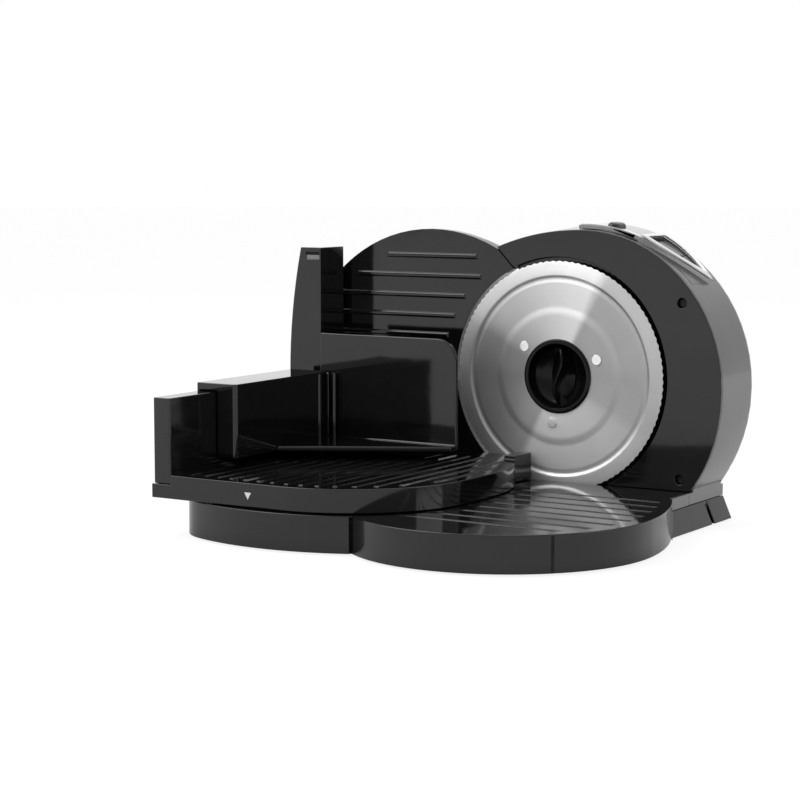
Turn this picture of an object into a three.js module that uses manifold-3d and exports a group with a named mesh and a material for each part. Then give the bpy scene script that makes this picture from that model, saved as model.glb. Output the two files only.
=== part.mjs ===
// Electric food slicer for the kitchen: base, motor housing, round blade, sliding carriage,
// thickness plate and remnant holder. Millimetres, +Z up. X runs along the blade plane to the
// right, Y runs away from the operator, and Z starts at the worktop.
import * as THREE from 'three';
import { mergeVertices } from 'three/addons/utils/BufferGeometryUtils.js';
import Module from 'manifold-3d';

// Fits that many pieces share
const CLEAR = 0.3;
const RUNNING = 0.7;
const OVERRUN = 6;
const FULL = 2 * Math.PI;

// Smoothness of round forms, in steps of a full turn or of one curve
const FINE_STEPS = 80;
const ROUND_STEPS = 40;
const SMALL_STEPS = 16;
const TINY_STEPS = 12;
const CURVE_STEPS = 8;

// Blade
const BLADE_HEIGHT = 117;
const BLADE_RADIUS = 95;
const BLADE_TEETH = 100;
const BLADE_TOOTH_DEPTH = 0.9;
const BLADE_FACE = 1.6;
const BLADE_MID_FACE = 1;
const BLADE_BACK = 0.8;
const BLADE_HUB_RADIUS = 56;
const BLADE_HUB_STEP = 1.6;
const BLADE_RIM_WIDTH = 13;
const BLADE_EDGE_THICKNESS = 0.8;
const RIVET_CIRCLE = 39;
const RIVET_COUNT = 3;
const RIVET_ANGLE = 23;
const RIVET_RADIUS = 4.4;
const RIVET_HEAD = 0.6;
const RIVET_SHANK = 1.9;
const RIVET_LENGTH = 4;

// Blade lock and its axle
const LOCK_FLANGE_RADIUS = 30.8;
const LOCK_CUP_RADIUS = 29.3;
const LOCK_RECESS_RADIUS = 27;
const LOCK_FRONT = 3.4;
const LOCK_FLOOR_FRONT = 8.6;
const LOCK_FLOOR = 3;
const LOCK_GRIP_WIDTH = 11;
const LOCK_GRIP_NECK = 4;
const LOCK_GRIP_DEPTH = 1;
const AXLE_RADIUS = 9.5;
const AXLE_BOSS_WALL = 3.2;
const AXLE_BOSS_FRONT = 30;

// Gear train behind the blade
const GEAR_MODULE = 1.9;
const BLADE_GEAR_TEETH = 48;
const PINION_TEETH = 10;
const GEAR_ADDENDUM = 1.3;
const GEAR_DEDENDUM = 1.9;
const GEAR_TIP_SHARE = 0.24;
const GEAR_ROOT_SHARE = 0.52;
const BLADE_GEAR_WIDTH = 7.9;
const PINION_GAP = 1.4;
const PINION_WIDTH = 7.4;
const PINION_HUB_RADIUS = 8;
const WORM_WHEEL_TEETH = 36;
const WORM_WHEEL_RADIUS = 24;
const WORM_WHEEL_DEPTH = 1.6;
const WORM_WHEEL_FRONT = 26;
const WORM_WHEEL_WIDTH = 8;
const REDUCER_BACK = 38;
const WORM_RADIUS = 6.5;
const WORM_CORE = 4.8;
const WORM_RINGS = 5;
const WORM_PITCH = 4.6;
const GEAR_PIN_RADIUS = 3;
const PIN_BOSS_WALL = 3.4;

// Base
const BASE_HEIGHT = 30;
const BASE_GROUND_GAP = 1.5;
const BASE_WALL = 2.6;
const BASE_DECK = 3;
const BASE_LEFT = -215;
const BASE_RIGHT = 121;
const BASE_BACK = 62;
const BASE_DECK_FRONT = -60;
const LEFT_LOBE_RADIUS = 175;
const LEFT_LOBE_X = -121;
const LEFT_LOBE_Y = -84;
const LEFT_LOBE_END_X = -46;
const LEFT_CORNER_WIDTH = 32;
const LEFT_CORNER_DEPTH = 55;
const RIGHT_LOBE_RADIUS = 121;
const RIGHT_LOBE_X = 30;
const RIGHT_LOBE_Y = -145.5;
const SHOULDER_END_Y = -36;
const SHOULDER_PULL_FRONT = 40.5;
const SHOULDER_PULL_BACK = 26;
const SHOULDER_PULL_SIDE = 13;
const GROOVE_PITCH = 22.35;
const GROOVE_WIDTH = 5;
const GROOVE_DEPTH = 0.8;
const GROOVE_COUNT = 8;
const GROOVE_BORDER = 11;
const GROOVE_FIRST = 51.5;
const COVER_THICKNESS = 2;
const COVER_HEIGHT = 2;
const PLINTH_HEIGHT = 20;
const PLINTH_FLARE = 8;
const PLINTH_FRONT = -52;
const PLINTH_SLIT_Y = 24;
const PLINTH_SLIT_WIDTH = 5;
const BAND_THICKNESS = 2.3;
const BAND_BACK = -5;
const TROUGH_FRONT = 4;
const TROUGH_BACK = 7;
const TROUGH_GAP = 4;

// Feet and screws
const FOOT_RADIUS = 10;
const FOOT_PAD = 1.7;
const FOOT_STEM_RADIUS = 4;
const FOOT_COLLAR_RADIUS = 6;
const FOOT_STEM_HEIGHT = 7;
const FOOT_LEFT_INSET = 26;
const FOOT_RIGHT_INSET = 21;
const FOOT_BACK_INSET = 18;
const FOOT_FRONT_INSET = 60;
const FOOT_LOBE_INSET = 52.5;
const SCREW_HEAD_RADIUS = 3.4;
const SCREW_HEAD_HEIGHT = 1.5;
const SCREW_SHANK_RADIUS = 1.7;
const BASE_SCREW_LENGTH = 14;
const BASE_SCREW_INSET = 26;
const BOSS_WALL = 2.4;

// Rail that the carriage hooks over
const RAIL_LEFT = -208;
const RAIL_RIGHT = -44;
const RAIL_Y = -17;
const RAIL_STEM_WIDTH = 4;
const RAIL_HEAD_WIDTH = 10;
const RAIL_STEM_HEIGHT = 7.7;
const RAIL_HEAD_HEIGHT = 6;

// Carriage table
const TABLE_HEIGHT = 50;
const TABLE_LEFT = -226;
const TABLE_FRONT = -251;
const TABLE_BACK = -4;
const TABLE_PLATE = 3;
const TABLE_WALL = 2.5;
const TABLE_CORNER_RADIUS = 104;
const TABLE_CORNER_X = -105;
const TABLE_SIDE_Y = -108;
const TABLE_SIDE_PULL = 38;
const TABLE_TIP_X = -23;
const TABLE_TIP_Y = -30;
const TABLE_TIP_PULL_X = 9;
const TABLE_TIP_PULL_Y = 15;
const TABLE_RIB_HEIGHT = 0.8;
const TABLE_RIB_WIDTH = 3;
const TABLE_RIB_PITCH = 12.9;
const TABLE_RIB_COUNT = 15;
const TABLE_RIB_INSET = 31;
const TABLE_RIB_BORDER = 10.5;
const TABLE_RIB_BACK = 3;
const TIP_BLOCK_LENGTH = 11;
const TIP_BLOCK_RISE = 2.5;
const GLIDE_RADIUS = 5;
const GLIDE_LEFT_INSET = 41;
const GLIDE_RIGHT_INSET = 23;
const GLIDE_FRONT_INSET = 23;

// Wall behind the food and the finger guard at its far end
const WALL_INSET = 1;
const WALL_FRONT_INSET = 1.5;
const WALL_THICKNESS = 16.5;
const WALL_TOP = 109.5;
const WALL_SEAT = 8;
const WALL_SHELL = 2.5;
const GUARD_DEPTH = 35.5;
const GUARD_GAUGE_GAP = 6;
const GUARD_TOP = 219.5;
const GUARD_TOP_WIDTH = 20.5;
const GUARD_BULGE = 32.5;
const GUARD_WAIST_HEIGHT = 110;
const GUARD_BOTTOM = 34;
const GUARD_BOTTOM_WIDTH = 27;
const GUARD_SHELL = 2.6;
const GUARD_WINDOW_DEPTH = 3;
const GUARD_WINDOW_INSET = 1.5;
const GUARD_WINDOW_HEIGHT = 6;
const GUARD_WINDOW_DROP = 4;

// Remnant holder
const HOLDER_FRONT = -189.5;
const HOLDER_LENGTH = 131.5;
const HOLDER_LIFT = 6.3;
const HOLDER_HEADROOM = 5.8;
const HOLDER_LEG = 2.3;
const HOLDER_BOX_WIDTH = 18.3;
const HOLDER_SHELL = 2.4;
const PUSHER_WIDTH = 134.5;
const PUSHER_INSET = 7.8;
const PUSHER_GAP = 3;
const PUSHER_THICKNESS = 4;
const PUSHER_TOP = 148;
const PUSHER_CORNER_RADIUS = 18;
const FLANGE_THICKNESS = 4.2;
const FLANGE_LENGTH = 79;
const FLANGE_END_LENGTH = 8;
const SPIKE_RADIUS = 2.2;
const SPIKE_LENGTH = 4.5;
const SPIKE_COLUMNS = 5;
const SPIKE_ROWS = 3;
const SPIKE_PITCH_X = 22.5;
const SPIKE_PITCH_Z = 22;
const SPIKE_INSET = 22;

// Housing outline, seen from the operator
const HOUSING_X = 20;
const HOUSING_Z = 112.5;
const HOUSING_RADIUS = 125;
const ARM_RADIUS = 210;
const SEAM_X = -59;
const SEAM_ANGLE = 46;
const SEAM_LENGTH = 27.5;
const HOUSING_FOOT_X = 119;
const HOUSING_SIDE_PULL = 45;
const HOUSING_FOOT_PULL_X = 9;
const HOUSING_FOOT_PULL_Z = 12;
const HOUSING_DEPTH = 60;
const HOUSING_WALL = 2.6;
const HOUSING_SWELL = 3;
const HOUSING_OUTER_SHARES = [[0, 0], [0.47, 0.53], [0.86, 1], [0.92, 0.8], [0.965, 0.3],
  [0.99, -0.33], [1, -1]];
const HOUSING_INNER_SHARES = [[0.47, 0.53], [0.83, 1]];
const PANEL_THICKNESS = 3;
const RECESS_GAP = 3;
const RECESS_SKIRT = 2.5;
const RECESS_FLOOR_FRONT = 5.5;
const RECESS_FLOOR = 2.5;
const CUP_GAP = 1.6;
const CUP_FLOOR_FRONT = 12;
const PANEL_SCREW_X = 110;
const PANEL_SCREW_HIGH = 181;
const PANEL_SCREW_LOW = 39.5;
const PANEL_SCREW_HOLE = 4;
const PANEL_SCREW_SEAT = 4.5;
const PANEL_SCREW_LENGTH = 12;
const PANEL_BUSH_BACK = 6;
const PANEL_BUSH_RADIUS = 5.8;
const HOUSING_BOSS_RADIUS = 5;
const VENT_COUNT = 7;
const VENT_PITCH = 8;
const VENT_WIDTH = 3;
const VENT_FIRST_X = 56;
const VENT_BOTTOM = 70;
const VENT_TOP = 100;
const GLAND_X = 40;
const GLAND_Z = 46;
const GLAND_RADIUS = 5;
const GLAND_FLANGE_RADIUS = 8;
const GLAND_FLANGE = 2;
const GLAND_BORE = 3.2;
const GLAND_FRONT = 52;
const GLAND_TAIL = 6;

// Motor
const MOTOR_RADIUS = 17.5;
const MOTOR_WALL = 1.6;
const MOTOR_LIFT = 8;
const MOTOR_LENGTH = 46;
const MOTOR_CAP = 3.4;
const SHAFT_RADIUS = 2.4;
const SHAFT_HOLE = 3;
const ARMATURE_RADIUS = 13.5;
const ARMATURE_LIFT = 8;
const ARMATURE_LENGTH = 24;
const FAN_RADIUS = 13.5;
const FAN_BLADES = 7;
const FAN_HEIGHT = 5;
const FAN_DROP = 3;
const FAN_BLADE_THICKNESS = 1.4;
const FAN_HUB_RADIUS = 5;
const BRACKET_THICKNESS = 3;
const BRACKET_MARGIN = 2;
const BEARING_HEIGHT = 5;
const BEARING_HALF_WIDTH = 8;
const BEARING_LIFT = 1.5;

// Console on the housing with the safety button and two keys
const CONSOLE_TOP = 5;
const CONSOLE_FRONT = 8;
const CONSOLE_BACK = 50;
const BEZEL_START = 40;
const BEZEL_END = 68.5;
const BEZEL_ANGLE = 2.4;
const POD_END = 93;
const POD_TOP = 4.2;
const TRAY_MARGIN = 4;
const TRAY_DEPTH = 6;
const TRAY_WALL = 2.2;
const TRAY_WALL_ANGLE = 1.2;
const KEY_GAP_ANGLE = 0.3;
const KEY_TOP = 3.4;
const KEY_LIFT = 2.6;
const SAFETY_ANGLE = 80.2;
const SAFETY_Y = 20;
const SAFETY_WIDTH = 11;
const SAFETY_LENGTH = 20;
const SAFETY_TOP = 7.8;
const SAFETY_DEPTH = 5;
const SLEEVE_WALL = 2;
const SLEEVE_DEPTH = 7.5;
const SWITCH_HEIGHT = 9;
const SWITCH_SIDE = 3;
const BOARD_LEFT = -14;
const BOARD_WIDTH = 58;
const BOARD_BOTTOM = 160;
const BOARD_HEIGHT = 40;
const BOARD_THICKNESS = 1.6;
const BOARD_STANDOFF = 6;
const STANDOFF_RADIUS = 3;
const STANDOFF_INSET = 6;
const CAPACITOR_RADIUS = 6;
const CAPACITOR_LENGTH = 14;

// Thickness plate, its guide and its knob
const GAUGE_X = -122;
const GAUGE_Z = 99;
const GAUGE_RADIUS = 137;
const GAUGE_LIFT = 3;
const GAUGE_BLADE_GAP = 2.5;
const GAUGE_SKIN = 3;
const GAUGE_RIM_DEPTH = 9;
const GAUGE_RIM = 4.5;
const GAUGE_COVER_INSET = 3;
const GAUGE_COVER_BACK = 24;
const GAUGE_COVER_WALL = 2.4;
const GAUGE_RIB_HEIGHT = 4;
const GAUGE_RIB_DEPTH = 1.5;
const GAUGE_RIB_DROP = 20.6;
const GAUGE_RIB_PITCH = 16.8;
const GAUGE_RIB_COUNT = 5;
const GAUGE_RIB_MARGIN = 12.5;
const GAUGE_TRAVEL = 15;
const GUIDE_X = -150;
const GUIDE_Z = 80;
const CARRIER_HALF_WIDTH = 28;
const CARRIER_HALF_HEIGHT = 24;
const CARRIER_BACK = 43.5;
const CARRIER_SKIN = 4.7;
const ROD_RADIUS = 4;
const ROD_OFFSET = 18;
const ROD_FRONT = 24;
const SPINDLE_RADIUS = 5;
const TURRET_WALL = 3;
const TURRET_BACK_GAP = 0.5;
const TURRET_FRONT_GAP = 2;
const KNOB_RADIUS = 23;
const KNOB_CAP_RADIUS = 20;
const KNOB_HEIGHT = 17;
const KNOB_LOBES = 18;
const KNOB_LOBE_RADIUS = 2.4;
const DIAL_RADIUS = 27;
const DIAL_THICKNESS = 1.5;

// Sizes that follow from the ones above
const RECESS_RADIUS = BLADE_RADIUS + RECESS_GAP;
const RECESS_FLOOR_BACK = RECESS_FLOOR_FRONT + RECESS_FLOOR;
const CUP_FLOOR_BACK = CUP_FLOOR_FRONT + RECESS_FLOOR;
const BLADE_GEAR_TIP = BLADE_GEAR_TEETH * GEAR_MODULE / 2 + GEAR_ADDENDUM;
const PINION_TIP = PINION_TEETH * GEAR_MODULE / 2 + GEAR_ADDENDUM;
const CUP_RADIUS = BLADE_GEAR_TIP + CUP_GAP;
const PINION_CUP_RADIUS = PINION_TIP + CUP_GAP;
const REDUCER_X = (BLADE_GEAR_TEETH + PINION_TEETH) * GEAR_MODULE / 2 + CLEAR;
const MOTOR_X = REDUCER_X + WORM_WHEEL_RADIUS + WORM_RADIUS + RUNNING;
const MOTOR_Y = WORM_WHEEL_FRONT + WORM_WHEEL_WIDTH / 2;
const OUTLET_X = -(CUP_RADIUS + RECESS_SKIRT + CLEAR + HOUSING_WALL);
const HOUSING_BOTTOM = BASE_HEIGHT + CLEAR;
const HOUSING_FRONT = PANEL_THICKNESS + CLEAR;
const HOUSING_INSIDE_BACK = HOUSING_DEPTH - HOUSING_WALL;
const TABLE_FACE = TABLE_HEIGHT - TABLE_RIB_HEIGHT;
const TABLE_BOTTOM = BASE_HEIGHT + RUNNING;
const TABLE_CORNER_Y = TABLE_FRONT + TABLE_CORNER_RADIUS;
const WALL_LEFT = TABLE_LEFT + WALL_INSET;
const WALL_RIGHT = WALL_LEFT + WALL_THICKNESS;
const WALL_BOTTOM = TABLE_HEIGHT - WALL_SEAT;
const GUARD_BACK = -GUARD_GAUGE_GAP;
const GUARD_FRONT = GUARD_BACK - GUARD_DEPTH;
const HOLDER_BACK = HOLDER_FRONT + HOLDER_LENGTH;
const HOLDER_BOTTOM = TABLE_HEIGHT + HOLDER_LIFT;
const HOLDER_TOP = WALL_TOP + RUNNING + HOLDER_HEADROOM;
const HOLDER_RIGHT = WALL_RIGHT + RUNNING + HOLDER_BOX_WIDTH;
const PUSHER_LEFT = WALL_RIGHT + RUNNING + PUSHER_INSET;
const PUSHER_RIGHT = PUSHER_LEFT + PUSHER_WIDTH;
const PUSHER_FRONT = HOLDER_BACK + PUSHER_GAP;
const PUSHER_BACK = PUSHER_FRONT + PUSHER_THICKNESS;
const GUIDE_BACK = CARRIER_BACK + GAUGE_TRAVEL + TURRET_BACK_GAP;
const TURRET_BACK = GUIDE_BACK + TURRET_WALL;
const KNOB_SEAT = TURRET_BACK + 2 * CLEAR + DIAL_THICKNESS;
const KNOB_BACK = KNOB_SEAT + KNOB_HEIGHT;

const wasm = await Module();
wasm.setup();

// Solids and booleans
function solidOf(geometry) {
  const plain = geometry.clone();
  plain.deleteAttribute('normal');
  plain.deleteAttribute('uv');
  const merged = mergeVertices(plain);
  const index = merged.index.array;
  const kept = [];
  for (let at = 0; at < index.length; at += 3) {
    const [a, b, c] = [index[at], index[at + 1], index[at + 2]];
    if (a !== b && b !== c && c !== a) kept.push(a, b, c);
  }
  return new wasm.Manifold(new wasm.Mesh({
    numProp: 3,
    vertProperties: new Float32Array(merged.attributes.position.array),
    triVerts: new Uint32Array(kept),
  }));
}

function block(x0, x1, y0, y1, z0, z1) {
  const geometry = new THREE.BoxGeometry(x1 - x0, y1 - y0, z1 - z0);
  return solidOf(geometry.translate((x0 + x1) / 2, (y0 + y1) / 2, (z0 + z1) / 2));
}

// Corner points of an outline, without doubles where two curves meet
function corners(shape) {
  const points = shape.getPoints(CURVE_STEPS);
  return points.filter((point, at) => point.distanceTo(points.at(at - 1)) > CLEAR / 10);
}

function extruded(shape, depth) {
  return new THREE.ExtrudeGeometry(new THREE.Shape(corners(shape)), { depth, bevelEnabled: false });
}

function upright(shape, y0, y1) {
  return solidOf(extruded(shape, y1 - y0).rotateX(Math.PI / 2).translate(0, y1, 0));
}

function levelForm(shape, z0, z1) {
  return extruded(shape, z1 - z0).translate(0, 0, z0);
}

function level(shape, z0, z1) {
  return solidOf(levelForm(shape, z0, z1));
}

function discY(x, z, radius, y0, y1, steps) {
  const geometry = new THREE.CylinderGeometry(radius, radius, y1 - y0, steps);
  return solidOf(geometry.translate(x, (y0 + y1) / 2, z));
}

function discZ(x, y, radius, z0, z1, steps) {
  const geometry = new THREE.CylinderGeometry(radius, radius, z1 - z0, steps);
  return solidOf(geometry.rotateX(Math.PI / 2).translate(x, y, (z0 + z1) / 2));
}

// Profiles are pairs of radius and height, turned about Y or stood up along Z
function turnedForm(profile, steps) {
  const points = profile.map(([radius, height]) => new THREE.Vector2(radius, height));
  if (THREE.ShapeUtils.isClockWise(points)) points.reverse();
  return new THREE.LatheGeometry([...points, points[0]], steps);
}

function turnedY(profile, x, z, steps) {
  return solidOf(turnedForm(profile, steps).translate(x, 0, z));
}

function turnedZ(profile, x, y, steps) {
  return solidOf(turnedForm(profile, steps).rotateX(Math.PI / 2).translate(x, y, 0));
}

// A body along Y whose outline changes from station to station
function drafted(outlineAt, stations) {
  const rings = stations.map(([, amount]) => corners(outlineAt(amount)));
  if (THREE.ShapeUtils.isClockWise(rings[0])) rings.forEach((ring) => ring.reverse());
  const count = rings[0].length;
  const positions = [];
  rings.forEach((ring, row) => {
    ring.forEach((point) => positions.push(point.x, stations[row][0], point.y));
  });
  const faces = [];
  for (let row = 0; row + 1 < rings.length; row += 1) {
    for (let at = 0; at < count; at += 1) {
      const [a, b] = [row * count + at, row * count + (at + 1) % count];
      faces.push(a, a + count, b + count, a, b + count, b);
    }
  }
  const last = (rings.length - 1) * count;
  for (const [a, b, c] of THREE.ShapeUtils.triangulateShape(rings[0], [])) {
    faces.push(a, b, c);
  }
  for (const [a, b, c] of THREE.ShapeUtils.triangulateShape(rings[rings.length - 1], [])) {
    faces.push(last + c, last + b, last + a);
  }
  const geometry = new THREE.BufferGeometry();
  geometry.setAttribute('position', new THREE.Float32BufferAttribute(positions, 3));
  geometry.setIndex(faces);
  return solidOf(geometry);
}

function polygon(points) {
  return new THREE.Shape(points.map(([a, b]) => new THREE.Vector2(a, b)));
}

function radians(degrees) {
  return THREE.MathUtils.degToRad(degrees);
}

function halfChord(radius, distance) {
  return Math.sqrt(Math.max(0, radius * radius - distance * distance));
}

function finish(solid) {
  const mesh = solid.getMesh();
  const geometry = new THREE.BufferGeometry();
  geometry.setAttribute('position', new THREE.BufferAttribute(mesh.vertProperties, 3));
  geometry.setIndex(new THREE.BufferAttribute(mesh.triVerts, 1));
  geometry.computeVertexNormals();
  return geometry;
}

function piece(parent, name, solid, look) {
  const mesh = new THREE.Mesh(finish(solid), new THREE.MeshStandardMaterial(look));
  mesh.name = name;
  parent.add(mesh);
  return mesh;
}

// Finishes
const BLACK_GLOSS = { color: 0x0b0b0c, roughness: 0.12, metalness: 0 };
const BLACK_SATIN = { color: 0x131415, roughness: 0.35, metalness: 0 };
const SILVER = { color: 0x8f9193, roughness: 0.42, metalness: 0.5 };
const BRUSHED_STEEL = { color: 0xc4c5c8, roughness: 0.3, metalness: 1 };
const BRIGHT_STEEL = { color: 0xd9dadc, roughness: 0.15, metalness: 1 };
const RUBBER = { color: 0x1c1c1c, roughness: 0.9, metalness: 0 };
const NYLON = { color: 0xdedad0, roughness: 0.5, metalness: 0 };
const BRASS = { color: 0xb08d4a, roughness: 0.35, metalness: 1 };
const COPPER = { color: 0xa8633a, roughness: 0.4, metalness: 0.9 };
const BOARD_GREEN = { color: 0x1f5a38, roughness: 0.6, metalness: 0 };
const GREY_PLASTIC = { color: 0x5b5d60, roughness: 0.5, metalness: 0 };

// Base outline, drawn in by an inset so that the walls follow it
function leftLobe(inset) {
  const radius = LEFT_LOBE_RADIUS - inset;
  const left = BASE_LEFT + inset;
  const cornerX = left + LEFT_CORNER_WIDTH;
  const start = Math.acos((cornerX - LEFT_LOBE_X) / radius);
  const end = Math.acos((LEFT_LOBE_END_X - LEFT_LOBE_X) / radius);
  const cornerY = LEFT_LOBE_Y - radius * Math.sin(start);
  const rise = LEFT_CORNER_WIDTH / Math.tan(Math.PI - start);
  const shape = new THREE.Shape();
  shape.moveTo(left, BASE_DECK_FRONT);
  shape.lineTo(left, cornerY + LEFT_CORNER_DEPTH);
  shape.quadraticCurveTo(left, cornerY + rise, cornerX, cornerY);
  shape.absarc(LEFT_LOBE_X, LEFT_LOBE_Y, radius, -start, -end, false);
  shape.lineTo(LEFT_LOBE_END_X, BASE_DECK_FRONT);
  return shape;
}

function shoulder(inset) {
  const outer = RIGHT_LOBE_X + RIGHT_LOBE_RADIUS - inset;
  const side = BASE_RIGHT - inset;
  const shape = new THREE.Shape();
  shape.moveTo(RIGHT_LOBE_X, RIGHT_LOBE_Y);
  shape.lineTo(outer, RIGHT_LOBE_Y);
  shape.bezierCurveTo(outer, RIGHT_LOBE_Y + SHOULDER_PULL_FRONT, side + SHOULDER_PULL_SIDE,
    SHOULDER_END_Y - SHOULDER_PULL_BACK, side, SHOULDER_END_Y);
  shape.lineTo(RIGHT_LOBE_X, SHOULDER_END_Y);
  return shape;
}

function baseBody(inset, z0, z1) {
  const disc = discZ(RIGHT_LOBE_X, RIGHT_LOBE_Y, RIGHT_LOBE_RADIUS - inset, z0, z1, FINE_STEPS);
  const deck = block(BASE_LEFT + inset, BASE_RIGHT - inset, BASE_DECK_FRONT - OVERRUN,
    BASE_BACK - inset, z0, z1);
  return disc.add(level(leftLobe(inset), z0, z1)).add(level(shoulder(inset), z0, z1)).add(deck);
}

// Feet stand near the four corners, with a screw beside each
const FOOT_FRONT_Y = RIGHT_LOBE_Y - RIGHT_LOBE_RADIUS + FOOT_FRONT_INSET;
const FOOT_PLACES = [
  [BASE_LEFT + FOOT_LEFT_INSET, LEFT_LOBE_Y - LEFT_LOBE_RADIUS + FOOT_LOBE_INSET],
  [BASE_RIGHT - FOOT_RIGHT_INSET, FOOT_FRONT_Y],
  [BASE_RIGHT - FOOT_RIGHT_INSET, BASE_BACK - FOOT_BACK_INSET],
  [BASE_LEFT + FOOT_LEFT_INSET, BASE_BACK - FOOT_BACK_INSET],
];

const SCREW_PLACES = FOOT_PLACES.map(([x, y]) => [x - Math.sign(x) * BASE_SCREW_INSET, y]);

// Grooves across the right lobe, between raised bands, inside a plain border
function lobeGrooves() {
  const [bottom, top] = [BASE_HEIGHT - GROOVE_DEPTH, BASE_HEIGHT + OVERRUN];
  const field = discZ(RIGHT_LOBE_X, RIGHT_LOBE_Y, RIGHT_LOBE_RADIUS - GROOVE_BORDER, bottom, top,
    FINE_STEPS).add(level(shoulder(GROOVE_BORDER), bottom, top));
  const bars = [];
  for (let index = 0; index < GROOVE_COUNT; index += 1) {
    const y = RIGHT_LOBE_Y - RIGHT_LOBE_RADIUS + GROOVE_FIRST + index * GROOVE_PITCH;
    bars.push(block(RIGHT_LOBE_X - RIGHT_LOBE_RADIUS, RIGHT_LOBE_X + RIGHT_LOBE_RADIUS,
      y - GROOVE_WIDTH / 2, y + GROOVE_WIDTH / 2, bottom, top));
  }
  return bars.reduce((all, bar) => all.add(bar)).intersect(field);
}

// Skirt that widens towards the worktop beside the housing, with a slit in it
function plinthFlare() {
  const inner = BASE_RIGHT - BASE_WALL;
  const foot = BASE_RIGHT + PLINTH_FLARE;
  const section = polygon([[inner, BASE_GROUND_GAP], [foot, BASE_GROUND_GAP],
    [BASE_RIGHT, PLINTH_HEIGHT], [inner, PLINTH_HEIGHT]]);
  const slit = block(BASE_RIGHT, foot + OVERRUN, PLINTH_SLIT_Y, PLINTH_SLIT_Y + PLINTH_SLIT_WIDTH,
    -OVERRUN, PLINTH_HEIGHT + OVERRUN);
  return upright(section, PLINTH_FRONT, BASE_BACK).subtract(slit);
}

// The blade dips below the deck into this trough
function trough(margin, bottom, top) {
  const half = halfChord(RECESS_RADIUS, BLADE_HEIGHT - BASE_HEIGHT) + CLEAR + margin;
  return block(-half, half, -TROUGH_FRONT - margin, TROUGH_BACK + margin, bottom, top);
}

function screwBoss(x, y) {
  const bottom = COVER_HEIGHT + COVER_THICKNESS + CLEAR;
  const shank = SCREW_SHANK_RADIUS + CLEAR;
  const column = discZ(x, y, shank + BOSS_WALL, bottom, BASE_HEIGHT - BASE_DECK + CLEAR,
    TINY_STEPS);
  return column.subtract(discZ(x, y, shank, bottom - OVERRUN,
    COVER_HEIGHT + BASE_SCREW_LENGTH + CLEAR, TINY_STEPS));
}

function makeBaseUpper() {
  const ceiling = BASE_HEIGHT - BASE_DECK;
  const floor = BLADE_HEIGHT - BLADE_RADIUS - TROUGH_GAP;
  let base = baseBody(0, BASE_GROUND_GAP, BASE_HEIGHT).add(plinthFlare());
  base = base.subtract(baseBody(BASE_WALL, BASE_GROUND_GAP - OVERRUN, ceiling));
  base = base.add(trough(BASE_WALL, floor - BASE_WALL, ceiling + CLEAR));
  base = base.subtract(trough(0, floor, BASE_HEIGHT + OVERRUN)).subtract(lobeGrooves());
  base = base.subtract(block(BASE_RIGHT - BASE_WALL - CLEAR, BASE_RIGHT + OVERRUN, SHOULDER_END_Y,
    BASE_BACK + OVERRUN, PLINTH_HEIGHT, BASE_HEIGHT + OVERRUN));
  for (const [x, y] of SCREW_PLACES) {
    base = base.add(screwBoss(x, y));
  }
  return base;
}

function makeBaseCover() {
  const top = COVER_HEIGHT + COVER_THICKNESS;
  let cover = baseBody(BASE_WALL + CLEAR, COVER_HEIGHT, top);
  for (const [x, y] of FOOT_PLACES) {
    cover = cover.subtract(discZ(x, y, FOOT_STEM_RADIUS + CLEAR, -OVERRUN, top + OVERRUN,
      TINY_STEPS));
  }
  for (const [x, y] of SCREW_PLACES) {
    cover = cover.subtract(discZ(x, y, SCREW_SHANK_RADIUS + CLEAR, -OVERRUN, top + OVERRUN,
      TINY_STEPS));
  }
  return cover;
}

function makeFoot([x, y]) {
  const collar = COVER_HEIGHT + COVER_THICKNESS + CLEAR;
  return turnedZ([[0, 0], [FOOT_RADIUS, 0], [FOOT_RADIUS, FOOT_PAD], [FOOT_STEM_RADIUS, FOOT_PAD],
    [FOOT_STEM_RADIUS, collar], [FOOT_COLLAR_RADIUS, collar],
    [FOOT_STEM_RADIUS, FOOT_STEM_HEIGHT], [0, FOOT_STEM_HEIGHT]], x, y, SMALL_STEPS);
}

function makeBaseScrew([x, y]) {
  const seat = COVER_HEIGHT - CLEAR;
  const tip = seat + BASE_SCREW_LENGTH;
  return turnedZ([[0, seat - SCREW_HEAD_HEIGHT], [SCREW_HEAD_RADIUS, seat - SCREW_HEAD_HEIGHT],
    [SCREW_HEAD_RADIUS, seat], [SCREW_SHANK_RADIUS, seat], [SCREW_SHANK_RADIUS, tip], [0, tip]],
  x, y, TINY_STEPS);
}

function makeTrimBand() {
  return block(BASE_RIGHT - BAND_THICKNESS, BASE_RIGHT, SHOULDER_END_Y + CLEAR, BAND_BACK,
    PLINTH_HEIGHT + CLEAR, BASE_HEIGHT);
}

function makeRail() {
  const foot = BASE_HEIGHT + CLEAR;
  const neck = foot + RAIL_STEM_HEIGHT;
  const stem = block(RAIL_LEFT, RAIL_RIGHT, RAIL_Y - RAIL_STEM_WIDTH / 2,
    RAIL_Y + RAIL_STEM_WIDTH / 2, foot, neck + CLEAR);
  return stem.add(block(RAIL_LEFT, RAIL_RIGHT, RAIL_Y - RAIL_HEAD_WIDTH / 2,
    RAIL_Y + RAIL_HEAD_WIDTH / 2, neck, neck + RAIL_HEAD_HEIGHT));
}

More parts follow.
